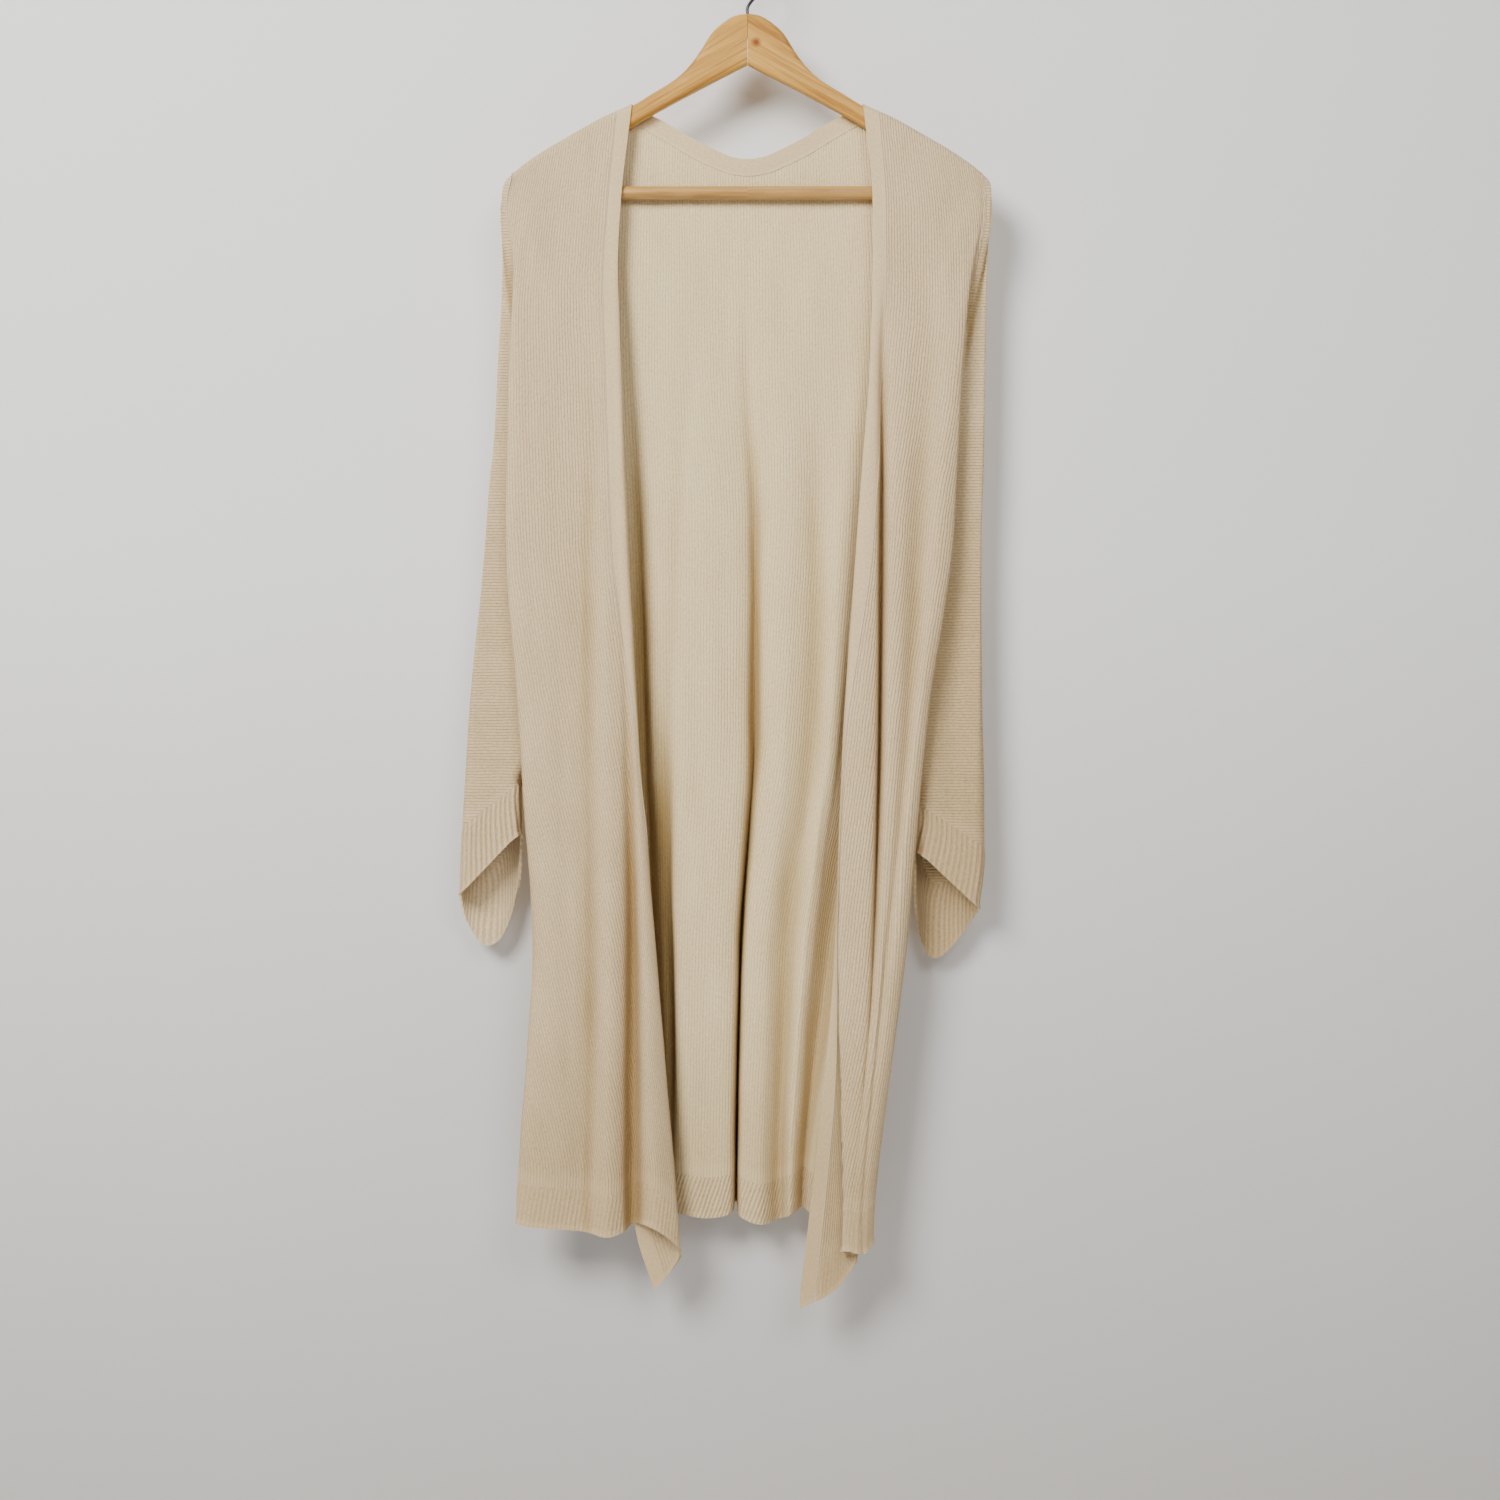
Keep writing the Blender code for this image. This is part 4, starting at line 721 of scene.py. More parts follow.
# The other finishes are the same knit with some values changed.
# The back's inside: the same cream yarn painted lighter as painted light, with fainter lines and a shallower
# bump.
litInsideKnitValues = {
    **bodyKnitValues, "lightYarn": (0.93, 0.745, 0.435), "darkYarn": (0.53, 0.385, 0.18),
    "lineStrength": 0.4, "bumpDistance": 0.0008,
}
hemRibValues = {
    **bodyKnitValues, "linePitch": 0.004, "lightYarn": (0.9, 0.71, 0.42), "darkYarn": (0.4, 0.275, 0.125),
    "lineStrength": 0.9, "bumpDistance": 0.0009,
}
cuffRibValues = {
    **bodyKnitValues, "linePitch": 0.0056, "lightYarn": (0.84, 0.64, 0.38), "darkYarn": (0.38, 0.26, 0.12),
    "lineStrength": 0.7, "bumpDistance": 0.0009,
}
softRibValues = {
    **bodyKnitValues, "linePitch": 0.0042, "darkYarn": (0.44, 0.305, 0.145), "lineStrength": 0.36,
    "bumpDistance": 0.0009,
}
bandKnitValues = {
    **bodyKnitValues, "linePitch": 0.0018, "stitchWidth": 0.0018, "stitchHeight": 0.0014,
    "lightYarn": (0.8, 0.615, 0.365), "darkYarn": (0.5, 0.36, 0.18), "lineStrength": 0.3,
    "bumpDistance": 0.0007,
}
knitGroup = makeKnitGroup()
bodyKnit = knitMaterial("creamFineKnit", bodyKnitValues)
litInsideKnit = knitMaterial("creamFineKnitBackLit", litInsideKnitValues)
hemRibKnit = knitMaterial("creamHemRib", hemRibValues)
cuffRibKnit = knitMaterial("creamCuffRib", cuffRibValues)
softRibKnit = knitMaterial("creamSoftRib", softRibValues)
bandKnit = knitMaterial("creamBandKnit", bandKnitValues)
print("stage: knit materials")


# The panels of the body.
def joinBackSeam(points, frontLine, side):
    z = points[:, 2]
    share = ease((underarm - 2 - z) / backJoinOver)[:, None]
    target = foldPoints(frontLine, z, float(shoulder(frontLine.top)), -1)
    target[:, 0] -= side * seamGap / 2
    return points + (target - points) * share


def panelGrid(lines, topOf, face, free, withBand):
    knots = []
    for line in lines:
        top = topOf(line.top)
        knots.append(foldPoints(line, rowHeights(line, top), top, face))
    knots = np.stack(knots, axis=1)
    if face > 0:
        knots[:, 0] = joinBackSeam(knots[:, 0], frontRightFolds[0], -1)
        knots[:, -1] = joinBackSeam(knots[:, -1], frontLeftFolds[0], 1)
    dense = curvesThrough(knots, stepsBetween)
    lengths = lengthsAcross(dense)
    atKnots = lengths[:, ::stepsBetween]
    marks = []
    for i in range(free):
        wide = (atKnots[:, i + 1] - atKnots[:, i]).mean()
        count = max(3, round(wide / columnStep))
        marks += [atKnots[:, i] + (atKnots[:, i + 1] - atKnots[:, i]) * k / count for k in range(count)]
    start, end = atKnots[:, free], atKnots[:, -1]
    seamColumn = None
    if withBand:
        seam = end - bandWidth
        count = round((seam - start).mean() / columnStep * 1.25)
        marks += [start + (seam - start) * k / count for k in range(count)]
        seamColumn = len(marks)
        count = round(bandWidth / columnStep)
        marks += [seam + bandWidth * k / count for k in range(count + 1)]
    else:
        marks.append(end)
    marks = np.stack(marks, axis=1)
    grid = placedAt(dense, lengths, marks)
    for r in range(len(archTurns) + 1):
        turn = archTurns[max(r - 1, 0)]
        for point in grid[r]:
            x = point[0]
            if abs(x) >= neckHalfWidth + bandWidth or face < 0:
                point[2] = topOf(x) - archDrop * (1 - math.cos(turn))
                depth = seamGap / 2 if r == 0 else archFlat + archRadius * math.sin(turn)
            else:
                point[2] = topOf(x) - archDrop * r / len(archTurns)
                depth = float(backDepth(x, point[2]))
            point[1] = face * depth
    anchor = marks[:, -1:] if withBand else atKnots[:, len(lines) // 2 - 1:len(lines) // 2]
    return grid, np.stack([marks - anchor, lengthsDown(grid)], axis=-1), seamColumn


def facing(grid, face):
    normals = unitNormals(grid)
    return -normals if (normals[len(grid) // 2, :, 1] * face).mean() < 0 else normals


# Raises the creases of a panel along its normals; they die out over the arm and at the side seams.
def creased(grid, creases, amount, face):
    normals = facing(grid, face)
    lift = relief(grid, creases, amount)
    below = ease((grid[0, :, 2] - grid[..., 2] - reliefValues["plainTop"]) / reliefValues["topOver"])
    aside = np.ones(grid.shape[1])
    columns = reliefValues["sideColumns"]
    aside[:columns] = np.linspace(0, 1, columns)
    if face > 0:
        aside[-columns:] = np.linspace(1, 0, columns)
    grid = grid + normals * (lift * below * aside)[..., None]
    return grid, facing(grid, face)


# A ribbed strip below a panel: finer columns, ribs outside, and a lip that curls out at its end.
def hemRib(name, node, grid, normals, uv, finish, values, shaded=1.0):
    stretch = np.linalg.norm(np.diff(grid[-1], axis=0), axis=1).sum()
    count = int(stretch / values["columnStep"])
    fine = resampled(grid, count)
    lengths = lengthsAcross(grid)
    shares = np.arange(count) / (count - 1)
    fineNormals = unitVectors(placedAt(normals, lengths, lengths[:, -1:] * shares))
    fineUv = np.stack([
        np.stack([np.interp(lengths[r, -1] * shares, lengths[r], uv[r, :, k]) for k in range(2)], axis=-1)
        for r in range(len(grid))
    ])
    rows = np.linspace(0, 1, len(grid))[:, None]
    fineUv[..., 0] += values["slant"] * rows
    around = fineUv[..., 0]
    rib = (0.5 + 0.5 * np.cos(2 * math.pi * around / values["pitch"])) ** values["blunt"]
    lift = values["rise"] * rib * ease(rows / values["riseOver"])
    curl = values["curl"] * ease((rows - values["curlFrom"]) / (1 - values["curlFrom"]))
    wave = 1 + 0.5 * np.sin(around / 17.0) + 0.3 * np.sin(around / 7.3 + 1)
    fine = fine + fineNormals * (curl * wave)[..., None]
    thick = wall + values["lip"] * ease((rows - values["lipFrom"]) / (1 - values["lipFrom"])) + 0 * around
    shaded = np.interp(shares, lengths[0] / lengths[0, -1], np.broadcast_to(shaded, lengths[0].shape))
    obj = knitWall(name, fine, fineNormals, fineUv, finish, lift=lift, thick=thick, shaded=shaded)
    dress(obj, node, grid)


stitchProud = 0.15
frontValues = {
    "unevenness": 1.0, "bandThickness": 1.35, "tailFrom": -960.0, "tailOver": 90.0, "tailLight": 0.5,
}
frontHemValues = {
    "pitch": 4.2, "rise": 0.28, "columnStep": 0.7, "curl": 0.9, "slant": 0.0,
    "blunt": 0.7, "riseOver": 0.12, "curlFrom": 0.82, "lip": 0.7, "lipFrom": 0.9,
}
backValues = {
    "unevenness": 1.0, "rightLight": 0.3, "lightFromX": 5.0, "lightOverX": 20.0,
    "lightFromZ": -650.0, "lightOverZ": 150.0,
}
backHemValues = {
    **frontHemValues, "pitch": 4.0, "rise": 1.1, "columnStep": 0.65, "curl": 1.1, "slant": 13.0,
}
frontRightCreases = (
    crease(-214, -232, -176, -330, 1.1, 7), crease(-210, -240, -150, -392, 0.9, 8),
    crease(-204, -226, -168, -262, -0.8, 6), crease(-138, -366, -148, -590, -1.5, 7),
    crease(-196, -420, -181, -640, 1.0, 9), crease(-163, -560, -172, -820, -1.3, 9),
    crease(-150, -760, -160, -1010, 1.2, 10), crease(-196, -820, -186, -1060, -1.2, 9),
    crease(-140, -930, -146, -1150, -1.1, 8), crease(-176, -1000, -172, -1160, 1.0, 8),
    crease(-130, -560, -137, -700, 0.9, 7), crease(-112, -640, -103, -860, -0.8, 6),
)
frontLeftCreases = (
    crease(214, -232, 178, -320, 1.1, 7), crease(206, -236, 160, -400, 0.9, 8),
    crease(200, -226, 170, -268, -0.8, 6), crease(155, -565, 158, -700, -1.2, 6),
    crease(176, -430, 168, -600, 1.0, 8), crease(148, -720, 139, -960, 1.1, 8),
    crease(131, -800, 128, -1000, -1.0, 7), crease(112, -930, 108, -1130, 0.9, 7),
    crease(103, -600, 95, -780, -0.8, 6),
)
backCreases = (
    crease(-200, -236, -150, -380, 1.0, 9), crease(200, -236, 150, -380, 1.0, 9),
    crease(-46, -640, -50, -840, 1.6, 8), crease(4, -700, 0, -900, -1.6, 9),
    crease(-20, -230, -24, -420, 0.8, 8), crease(30, -820, 26, -1000, 1.2, 8),
    crease(-60, -760, -58, -1040, 1.3, 9), crease(20, -240, 34, -470, -0.7, 9),
    crease(-22, -560, -18, -800, 1.0, 7), crease(50, -960, 44, -1140, -1.0, 7),
    crease(90, -300, 82, -520, 0.9, 9), crease(-90, -300, -84, -500, 0.9, 9),
    crease(-52, -378, -70, -620, 2.4, 7), crease(-70, -600, -77, -890, 4.0, 8),
    crease(-79, -740, -78, -1230, 11.0, 9), crease(62, -480, 66, -720, 1.8, 8),
    crease(66, -680, 70, -870, 2.0, 8), crease(37, -790, 38, -940, 1.4, 7),
)


def frontPanel(word, lines, creases):
    grid, uv, seam = panelGrid(lines, frontTop, -1, freeFrom, True)
    grid, normals = creased(grid, creases, frontValues["unevenness"], -1)
    ribRow = len(grid) - 1 - ribRows
    panel = grid[:ribRow + 1, :seam + 1].copy()
    drawIn(panel, 1, -1, seamGap / 4)
    drawIn(panel, 1, 0, seamGap / 2)
    # The left front's low tail gets less painted fold shade.
    low = ease((frontValues["tailFrom"] - grid[..., 2]) / frontValues["tailOver"])
    tail = 1 - frontValues["tailLight"] * low * (grid[..., 0] > 0)
    obj = knitWall(
        f"front{word}Knit", panel, normals[:ribRow + 1, :seam + 1], uv[:ribRow + 1, :seam + 1], bodyKnit,
        shaded=tail[:ribRow + 1, :seam + 1],
    )
    dress(obj, f"front_{word.lower()}", panel)
    band = grid[:, seam:].copy()
    drawIn(band, 1, 0, seamGap / 4)
    lengthwise = uv[:, seam:]
    thick = frontValues["bandThickness"]
    bandObj = knitWall(f"frontBand{word}Knit", band, normals[:, seam:], lengthwise, bandKnit, thick=thick)
    dress(bandObj, f"front_band_{word.lower()}", band)
    strip = grid[ribRow:, :seam + 1].copy()
    drawIn(strip, 1, -1, seamGap / 2)
    hemRib(
        f"hemRibFront{word}Knit", f"hem_rib_front_{word.lower()}", strip, normals[ribRow:, :seam + 1],
        uv[ribRow:, :seam + 1], softRibKnit, frontHemValues, float(tail[-1, -1]),
    )
    return (grid + normals * (wall / 2 + stitchProud))[2:, seam]


seams = {
    "bandRight": frontPanel("Right", frontRightFolds, frontRightCreases),
    "bandLeft": frontPanel("Left", frontLeftFolds, frontLeftCreases),
}
print("stage: fronts")


def backPanel():
    grid, uv, _ = panelGrid(backFolds, backTop, 1, len(backFolds) - 1, False)
    grid, normals = creased(grid, backCreases, backValues["unevenness"], 1)
    ribRow = len(grid) - 1 - ribRows
    panel = grid[:ribRow + 1].copy()
    for index in (0, -1):
        drawIn(panel, 1, index, 2 * seamGap)
    # The back's lower right gets less painted fold shade.
    beside = ease((panel[..., 0] - backValues["lightFromX"]) / backValues["lightOverX"])
    low = ease((backValues["lightFromZ"] - panel[..., 2]) / backValues["lightOverZ"])
    light = 1 - backValues["rightLight"] * beside * low
    obj = knitWall("backKnit", panel, normals[:ribRow + 1], uv[:ribRow + 1], litInsideKnit, shaded=light)
    dress(obj, "back", panel)
    strip = grid[ribRow:].copy()
    for index in (0, -1):
        drawIn(strip, 1, index, 2 * seamGap)
    hemRib(
        "hemRibBackKnit", "hem_rib_back", strip, normals[ribRow:], uv[ribRow:], hemRibKnit, backHemValues,
        light[-1],
    )


backPanel()
print("stage: back")


neckBandValues = {
    "thickness": 1.35, "stitchProud": 0.2, "rows": 10, "columns": 150, "samples": 241,
    "endShares": (0, 0.003, 0.006, 0.012, 0.018, 0.026, 0.034),
}


def neckBand():
    turn, columns, rows = list(neckBandValues["endShares"]), neckBandValues["columns"], neckBandValues["rows"]
    middle = [turn[-1] + (1 - 2 * turn[-1]) * c / columns for c in range(1, columns)]
    shares = np.array(turn + middle + [1 - s for s in turn[::-1]])
    lines = []
    for table in (neckCurve(neckEdge, neckHalfWidth), neckCurve(neckSeam, neckHalfWidth + bandWidth)):
        xs = np.linspace(table[0][0], table[-1][0], neckBandValues["samples"])
        points = np.stack([xs, 0 * xs, tableCurve(table, xs)], axis=-1)[None]
        lengths = lengthsAcross(points)
        lines.append(placedAt(points, lengths, lengths[:, -1:] * shares)[0])
    grid = np.array([lines[0] * (1 - t) + lines[1] * t for t in np.linspace(0, 1, rows)])
    grid[..., 1] = backDepth(grid[..., 0], grid[..., 2])
    drawIn(grid, 0, -1, seamGap / 3)
    normals = facing(grid, 1)
    lengths = lengthsAcross(grid)
    down = np.broadcast_to(np.linspace(0, bandWidth, rows)[:, None], lengths.shape)
    uv = np.stack([down, lengths], axis=-1)
    obj = knitWall("neckBandKnit", grid, normals, uv, bandKnit, thick=neckBandValues["thickness"])
    dress(obj, "neck_band", grid)
    return grid[-1] - normals[-1] * (wall / 2 + neckBandValues["stitchProud"])


seams["neck"] = neckBand()
print("stage: neck band")


# The sleeves with their cuffs.
def ringPoints(values, rows):
    over = np.array((values.overX, 0.0, values.overZ))
    under = np.array((values.underX, 0.0, values.underZ))
    line = under - over
    length = np.linalg.norm(line)
    line = line / length
    arch = len(archTurns) - 1
    first, last = rows[arch - 1], rows[-len(underarmAngles)]
    turnOver, turnUnder = [
        min(float(byHeight(sleeveDepth, end[2], 2)) * sleeveValues["turnShare"], length / 4)
        for end in (over, under)
    ]
    marks = [(0.0, archFlat / archDepth)]
    marks += [
        (turnOver * (1 - math.cos(a)), (archFlat + archRadius * math.sin(a)) / archDepth)
        for a in archTurns[1:]
    ]
    marks += [
        (turnOver + (length - turnOver - turnUnder) * (z - first) / (last - first), 1.0)
        for z in rows[arch:-len(underarmAngles)]
    ]
    marks += [(length - turnUnder * (1 - math.cos(a)), math.sin(a)) for a in underarmAngles]
    marks = np.array(marks)

    def placed(marks, face):
        share = np.clip(marks[:, 0] / length, 0, 1)
        base = over + line * marks[:, :1]
        sag = 0 * share
        if face > 0:
            sag = values.drop * np.maximum(0.0, np.sin(math.pi * share ** values.lean)) ** values.blunt
        z = base[:, 2] - sag
        middle = byHeight(sleeveDepth, z, 1)
        y = middle + face * byHeight(sleeveDepth, z, 2) * marks[:, 1]
        return np.stack([base[:, 0], y, z], axis=-1)

    front = placed(marks, -1)
    back = placed(marks[:-1], 1)
    return np.concatenate([front, back[::-1]])


def armholeLoop(rows, lines, backLine, side):
    top = float(shoulder(lines[0].top))
    z = np.array([top] + list(rows))
    front = foldPoints(lines[0], z, top, -1)
    back = foldPoints(backLine, z, top, 1)
    for i, a in enumerate(archTurns):
        depth = archFlat + archRadius * math.sin(a)
        front[i, 1], back[i, 1] = -depth, depth
    stack = ease((stackFrom - z) / stackOver)
    front[:, 0] += side * seamGap * (1 - stack)
    front[:, 1] += (wall + seamGap * 1.5) * stack
    back[:, 0] += side * seamGap
    close = [1 - math.sin(angle) for angle in underarmAngles]
    for k, share in zip(range(-len(close), 0), close):
        middle = (front[k] + back[k]) / 2
        front[k] += (middle - front[k]) * share
        back[k] += (middle - back[k]) * share
    return np.concatenate([front, back[-2::-1]])


sleeveValues = {
    "unevenness": 1.1, "ringsPerStep": 12, "cuffRings": 26, "cuffPitch": 5.6, "cuffRise": 0.8,
    "cuffBlunt": 0.8, "cuffFlare": 0.8, "cuffLip": 0.6, "cuffColumns": 300,
    # Painted shade on the sleeves and cuffs, outside and inside, and where it grows in down the sleeve.
    "veilRight": (0.2, 0.0), "veilLeft": (0.45, 0.55), "veilFrom": 380.0, "veilOver": 250.0,
    "plainRings": 0.6, "creaseOver": 1.6, "acrossShare": 0.3, "turnShare": 0.8,
}
sleeveRightCreases = (
    crease(-226, -330, -238, -470, 0.8, 7), crease(-240, -480, -222, -560, 0.9, 8),
    crease(-250, -590, -228, -640, -0.9, 8), crease(-254, -680, -226, -720, 0.9, 8),
    crease(-262, -756, -230, -790, -0.8, 6), crease(-240, -740, -250, -820, 0.8, 7),
)
sleeveLeftCreases = (
    crease(214, -340, 210, -480, 0.8, 7), crease(206, -520, 184, -600, 0.9, 8),
    crease(214, -620, 186, -680, -0.9, 8), crease(212, -700, 180, -740, 0.9, 8),
    crease(214, -780, 186, -806, -0.8, 6), crease(196, -730, 204, -830, 0.8, 7),
    crease(207, -500, 192, -830, -4.5, 15),
)


def sleeve(word, side, lines, rings, creases):
    allRows = rowHeights(lines[0], float(shoulder(lines[0].top)))
    rows = list(allRows[2:len(archTurns) + rowsToUnderarm + 1])
    rows = rows[:-1] + [underarm + underarmReach * (1 - math.cos(a)) for a in underarmAngles]
    stations = np.arange(len(rings))
    columns = list(zip(*rings))
    perStep = sleeveValues["ringsPerStep"]
    last = len(rings) - 1
    places = [k / perStep for k in range((last - 1) * perStep + 1)]
    places += [last - 1 + k / sleeveValues["cuffRings"] for k in range(1, sleeveValues["cuffRings"] + 1)]
    loops = []
    for at in places:
        loops.append(ringPoints(ring(*[float(steady(at, stations, c)) for c in columns]), rows))
    first = armholeLoop(rows, lines, backFolds[0] if side < 0 else backFolds[-1], side)
    change = first - loops[0]
    grid = np.array([loop + change * (1 - float(ease(at / armholeBlend))) for at, loop in zip(places, loops)])
    normals = unitNormals(grid, closed=True)
    middle = grid.mean(axis=1, keepdims=True)
    sign = 1 if ((grid - middle) * normals).sum() > 0 else -1
    fade = ease((np.array(places) - sleeveValues["plainRings"]) / sleeveValues["creaseOver"])[:, None]
    grid = grid + normals * sign * (relief(grid, creases, sleeveValues["unevenness"]) * fade)[..., None]
    normals = sign * unitNormals(grid, closed=True)
    tubeEnd = (last - 1) * perStep + 1
    tube = grid[:tubeEnd].copy()
    drawIn(tube, 0, -1, seamGap / 2)
    # The knit's lines run across the hanging sleeve, so its UV is laid by height.
    uv = np.stack([-tube[..., 2], tube[..., 0] + sleeveValues["acrossShare"] * tube[..., 1]], axis=-1)
    # Painted shade on the sleeve, growing downwards outside and even inside; the cuff takes the full amounts.
    outside, inside = sleeveValues["veil" + word]
    low = ease((-tube[..., 2] - sleeveValues["veilFrom"]) / sleeveValues["veilOver"])
    obj = knitWall(
        f"sleeve{word}Knit", tube, normals[:tubeEnd], uv, bodyKnit, closed=True, veil=(outside * low, inside)
    )
    dress(obj, f"sleeve_{word.lower()}", tube, closed=True)
    cuffGrid = grid[tubeEnd - 1:].copy()
    cuffNormals = normals[tubeEnd - 1:]
    count = sleeveValues["cuffColumns"]
    loopLengths = lengthsAcross(closedLoop(cuffGrid))
    shares = np.arange(count) / count
    fine = resampled(cuffGrid, count, closed=True)
    fineNormals = placedAt(closedLoop(cuffNormals), loopLengths, loopLengths[:, -1:] * shares)
    fineNormals = unitVectors(fineNormals)
    ribCount = round(loopLengths[0, -1] / sleeveValues["cuffPitch"])
    rowsDown = np.linspace(0, 1, len(fine))[:, None]
    rib = (0.5 + 0.5 * np.cos(2 * math.pi * ribCount * shares)) ** sleeveValues["cuffBlunt"]
    lift = sleeveValues["cuffRise"] * rib[None] * ease(rowsDown / 0.1)
    flare = sleeveValues["cuffFlare"] * ease((rowsDown - 0.88) / 0.12)
    flare = flare * (1 + 0.4 * np.sin(9 * shares * math.pi)[None])
    fine = fine + fineNormals * flare[..., None]
    thick = wall + sleeveValues["cuffLip"] * ease((rowsDown - 0.92) / 0.08) + 0 * rib[None]
    down = lengthsDown(fine)
    around = np.broadcast_to(shares * ribCount * sleeveValues["cuffPitch"], down.shape)
    cuffUv = np.stack([around, down], axis=-1)
    cuff = knitWall(
        f"cuff{word}Knit", fine, fineNormals, cuffUv, cuffRibKnit,
        closed=True, lift=lift, thick=thick, veil=(outside, inside),
    )
    dress(cuff, f"cuff_{word.lower()}", cuffGrid, closed=True)
    seams[f"armhole{word}"] = (grid + normals * (wall / 2 + stitchProud))[0]


sleeve("Right", -1, frontRightFolds, sleeveRightRings, sleeveRightCreases)
sleeve("Left", 1, frontLeftFolds, sleeveLeftRings, sleeveLeftCreases)
print("stage: sleeves and cuffs")


# Linking stitches along the seams, made with Geometry Nodes.
def makeStitchNodes():
    tree = bpy.data.node_groups.new("linkingStitches", "GeometryNodeTree")
    for label, kind, value in (
        ("Geometry", "NodeSocketGeometry", None),
        ("Spacing", "NodeSocketFloat", 0.0026),
        ("Loop Length", "NodeSocketFloat", 0.0013),
        ("Yarn Radius", "NodeSocketFloat", 0.00028),
        ("Seed", "NodeSocketInt", 4),
        ("Material", "NodeSocketMaterial", None),
    ):
        socket = tree.interface.new_socket(name=label, in_out="INPUT", socket_type=kind)
        if value is not None:
            socket.default_value = value
    tree.interface.new_socket(name="Geometry", in_out="OUTPUT", socket_type="NodeSocketGeometry")
    given, result = tree.nodes.new("NodeGroupInput"), tree.nodes.new("NodeGroupOutput")
    new, link = tree.nodes.new, tree.links.new
    spaced = new("GeometryNodeResampleCurve")
    spaced.mode = "LENGTH"
    link(given.outputs["Geometry"], spaced.inputs["Curve"])
    link(given.outputs["Spacing"], spaced.inputs["Length"])
    circle = new("GeometryNodeCurvePrimitiveCircle")
    circle.inputs["Resolution"].default_value = 7
    link(given.outputs["Loop Length"], circle.inputs["Radius"])
    squashed = new("GeometryNodeTransform")
    squashed.inputs["Scale"].default_value = (1.0, 0.5, 0.7)
    link(circle.outputs[0], squashed.inputs["Geometry"])
    yarn = new("GeometryNodeCurvePrimitiveCircle")
    yarn.inputs["Resolution"].default_value = 4
    link(given.outputs["Yarn Radius"], yarn.inputs["Radius"])
    swept = new("GeometryNodeCurveToMesh")
    link(squashed.outputs[0], swept.inputs["Curve"])
    link(yarn.outputs[0], swept.inputs["Profile Curve"])
    tangent = new("GeometryNodeInputTangent")
    turned = new("FunctionNodeAlignRotationToVector")
    turned.axis = "X"
    link(tangent.outputs[0], turned.inputs["Vector"])
    size = new("FunctionNodeRandomValue")
    size.data_type = "FLOAT"
    size.inputs[2].default_value = 0.8
    size.inputs[3].default_value = 1.15
    link(given.outputs["Seed"], size.inputs["Seed"])
    placed = new("GeometryNodeInstanceOnPoints")
    link(spaced.outputs[0], placed.inputs["Points"])
    link(swept.outputs[0], placed.inputs["Instance"])
    link(turned.outputs[0], placed.inputs["Rotation"])
    link(size.outputs[1], placed.inputs["Scale"])
    realized = new("GeometryNodeRealizeInstances")
    link(placed.outputs[0], realized.inputs[0])
    finished = new("GeometryNodeSetMaterial")
    link(realized.outputs[0], finished.inputs["Geometry"])
    link(given.outputs["Material"], finished.inputs["Material"])
    link(finished.outputs[0], result.inputs[0])
    return tree


stitchValues = {
    "spacing": 0.0026, "loopLength": 0.0012, "yarnRadius": 0.00026, "seed": 11,
    "darkYarn": (0.6, 0.5, 0.37), "lightYarn": (0.82, 0.73, 0.59),
}


def yarnMaterial():
    made, tree, shader = newMaterial("linkingYarn")
    where = objectPlace(tree)
    speck = noiseNode(tree, where, 900.0, 3.0, 0.6)
    colour = mixColours(tree, speck, stitchValues["darkYarn"], stitchValues["lightYarn"])
    painted(tree, shader, colour, rangeNode(tree, speck, 0, 1, 0.95, 0.75))
    bumped(tree, shader, noiseNode(tree, where, 2400.0, 2.0), 0.0001)
    shader.inputs["Sheen Weight"].default_value = 0.2
    return made


stitchNodes = makeStitchNodes()
seamYarn = yarnMaterial()


def linkingStitches(name, lines):
    curve = bpy.data.curves.new(name + "Path", "CURVE")
    curve.dimensions = "3D"
    for line in lines:
        spline = curve.splines.new("POLY")
        spline.points.add(len(line) - 1)
        flat = np.concatenate([np.asarray(line) * mm, np.ones((len(line), 1))], axis=1)
        spline.points.foreach_set("co", flat.ravel())
    path = bpy.data.objects.new(name + "Path", curve)
    bpy.context.scene.collection.objects.link(path)
    maker = path.modifiers.new("stitches", "NODES")
    maker.node_group = stitchNodes
    values = {
        "Spacing": stitchValues["spacing"], "Loop Length": stitchValues["loopLength"],
        "Yarn Radius": stitchValues["yarnRadius"], "Seed": stitchValues["seed"], "Material": seamYarn,
    }
    for item in stitchNodes.interface.items_tree:
        if item.in_out == "INPUT" and item.name in values:
            maker[item.identifier] = values[item.name]
    mesh = finishedMesh(path)
    bpy.data.objects.remove(path)
    mesh.name = name
    obj = newObject(name, mesh, seamYarn)
    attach(obj, "root")
    return obj


linkingStitches("bandStitches", [seams["bandRight"], seams["bandLeft"], seams["neck"]])
linkingStitches("sleeveStitches", [
    np.concatenate([seams[key], seams[key][:1]]) for key in ("armholeRight", "armholeLeft")
])
print("stage: stitches")


# The hanger.
knotValues = {"place": (0.008, -0.0065, -0.088), "reach": (0.0025, 0.0068), "colour": (0.22, 0.06, 0.01)}


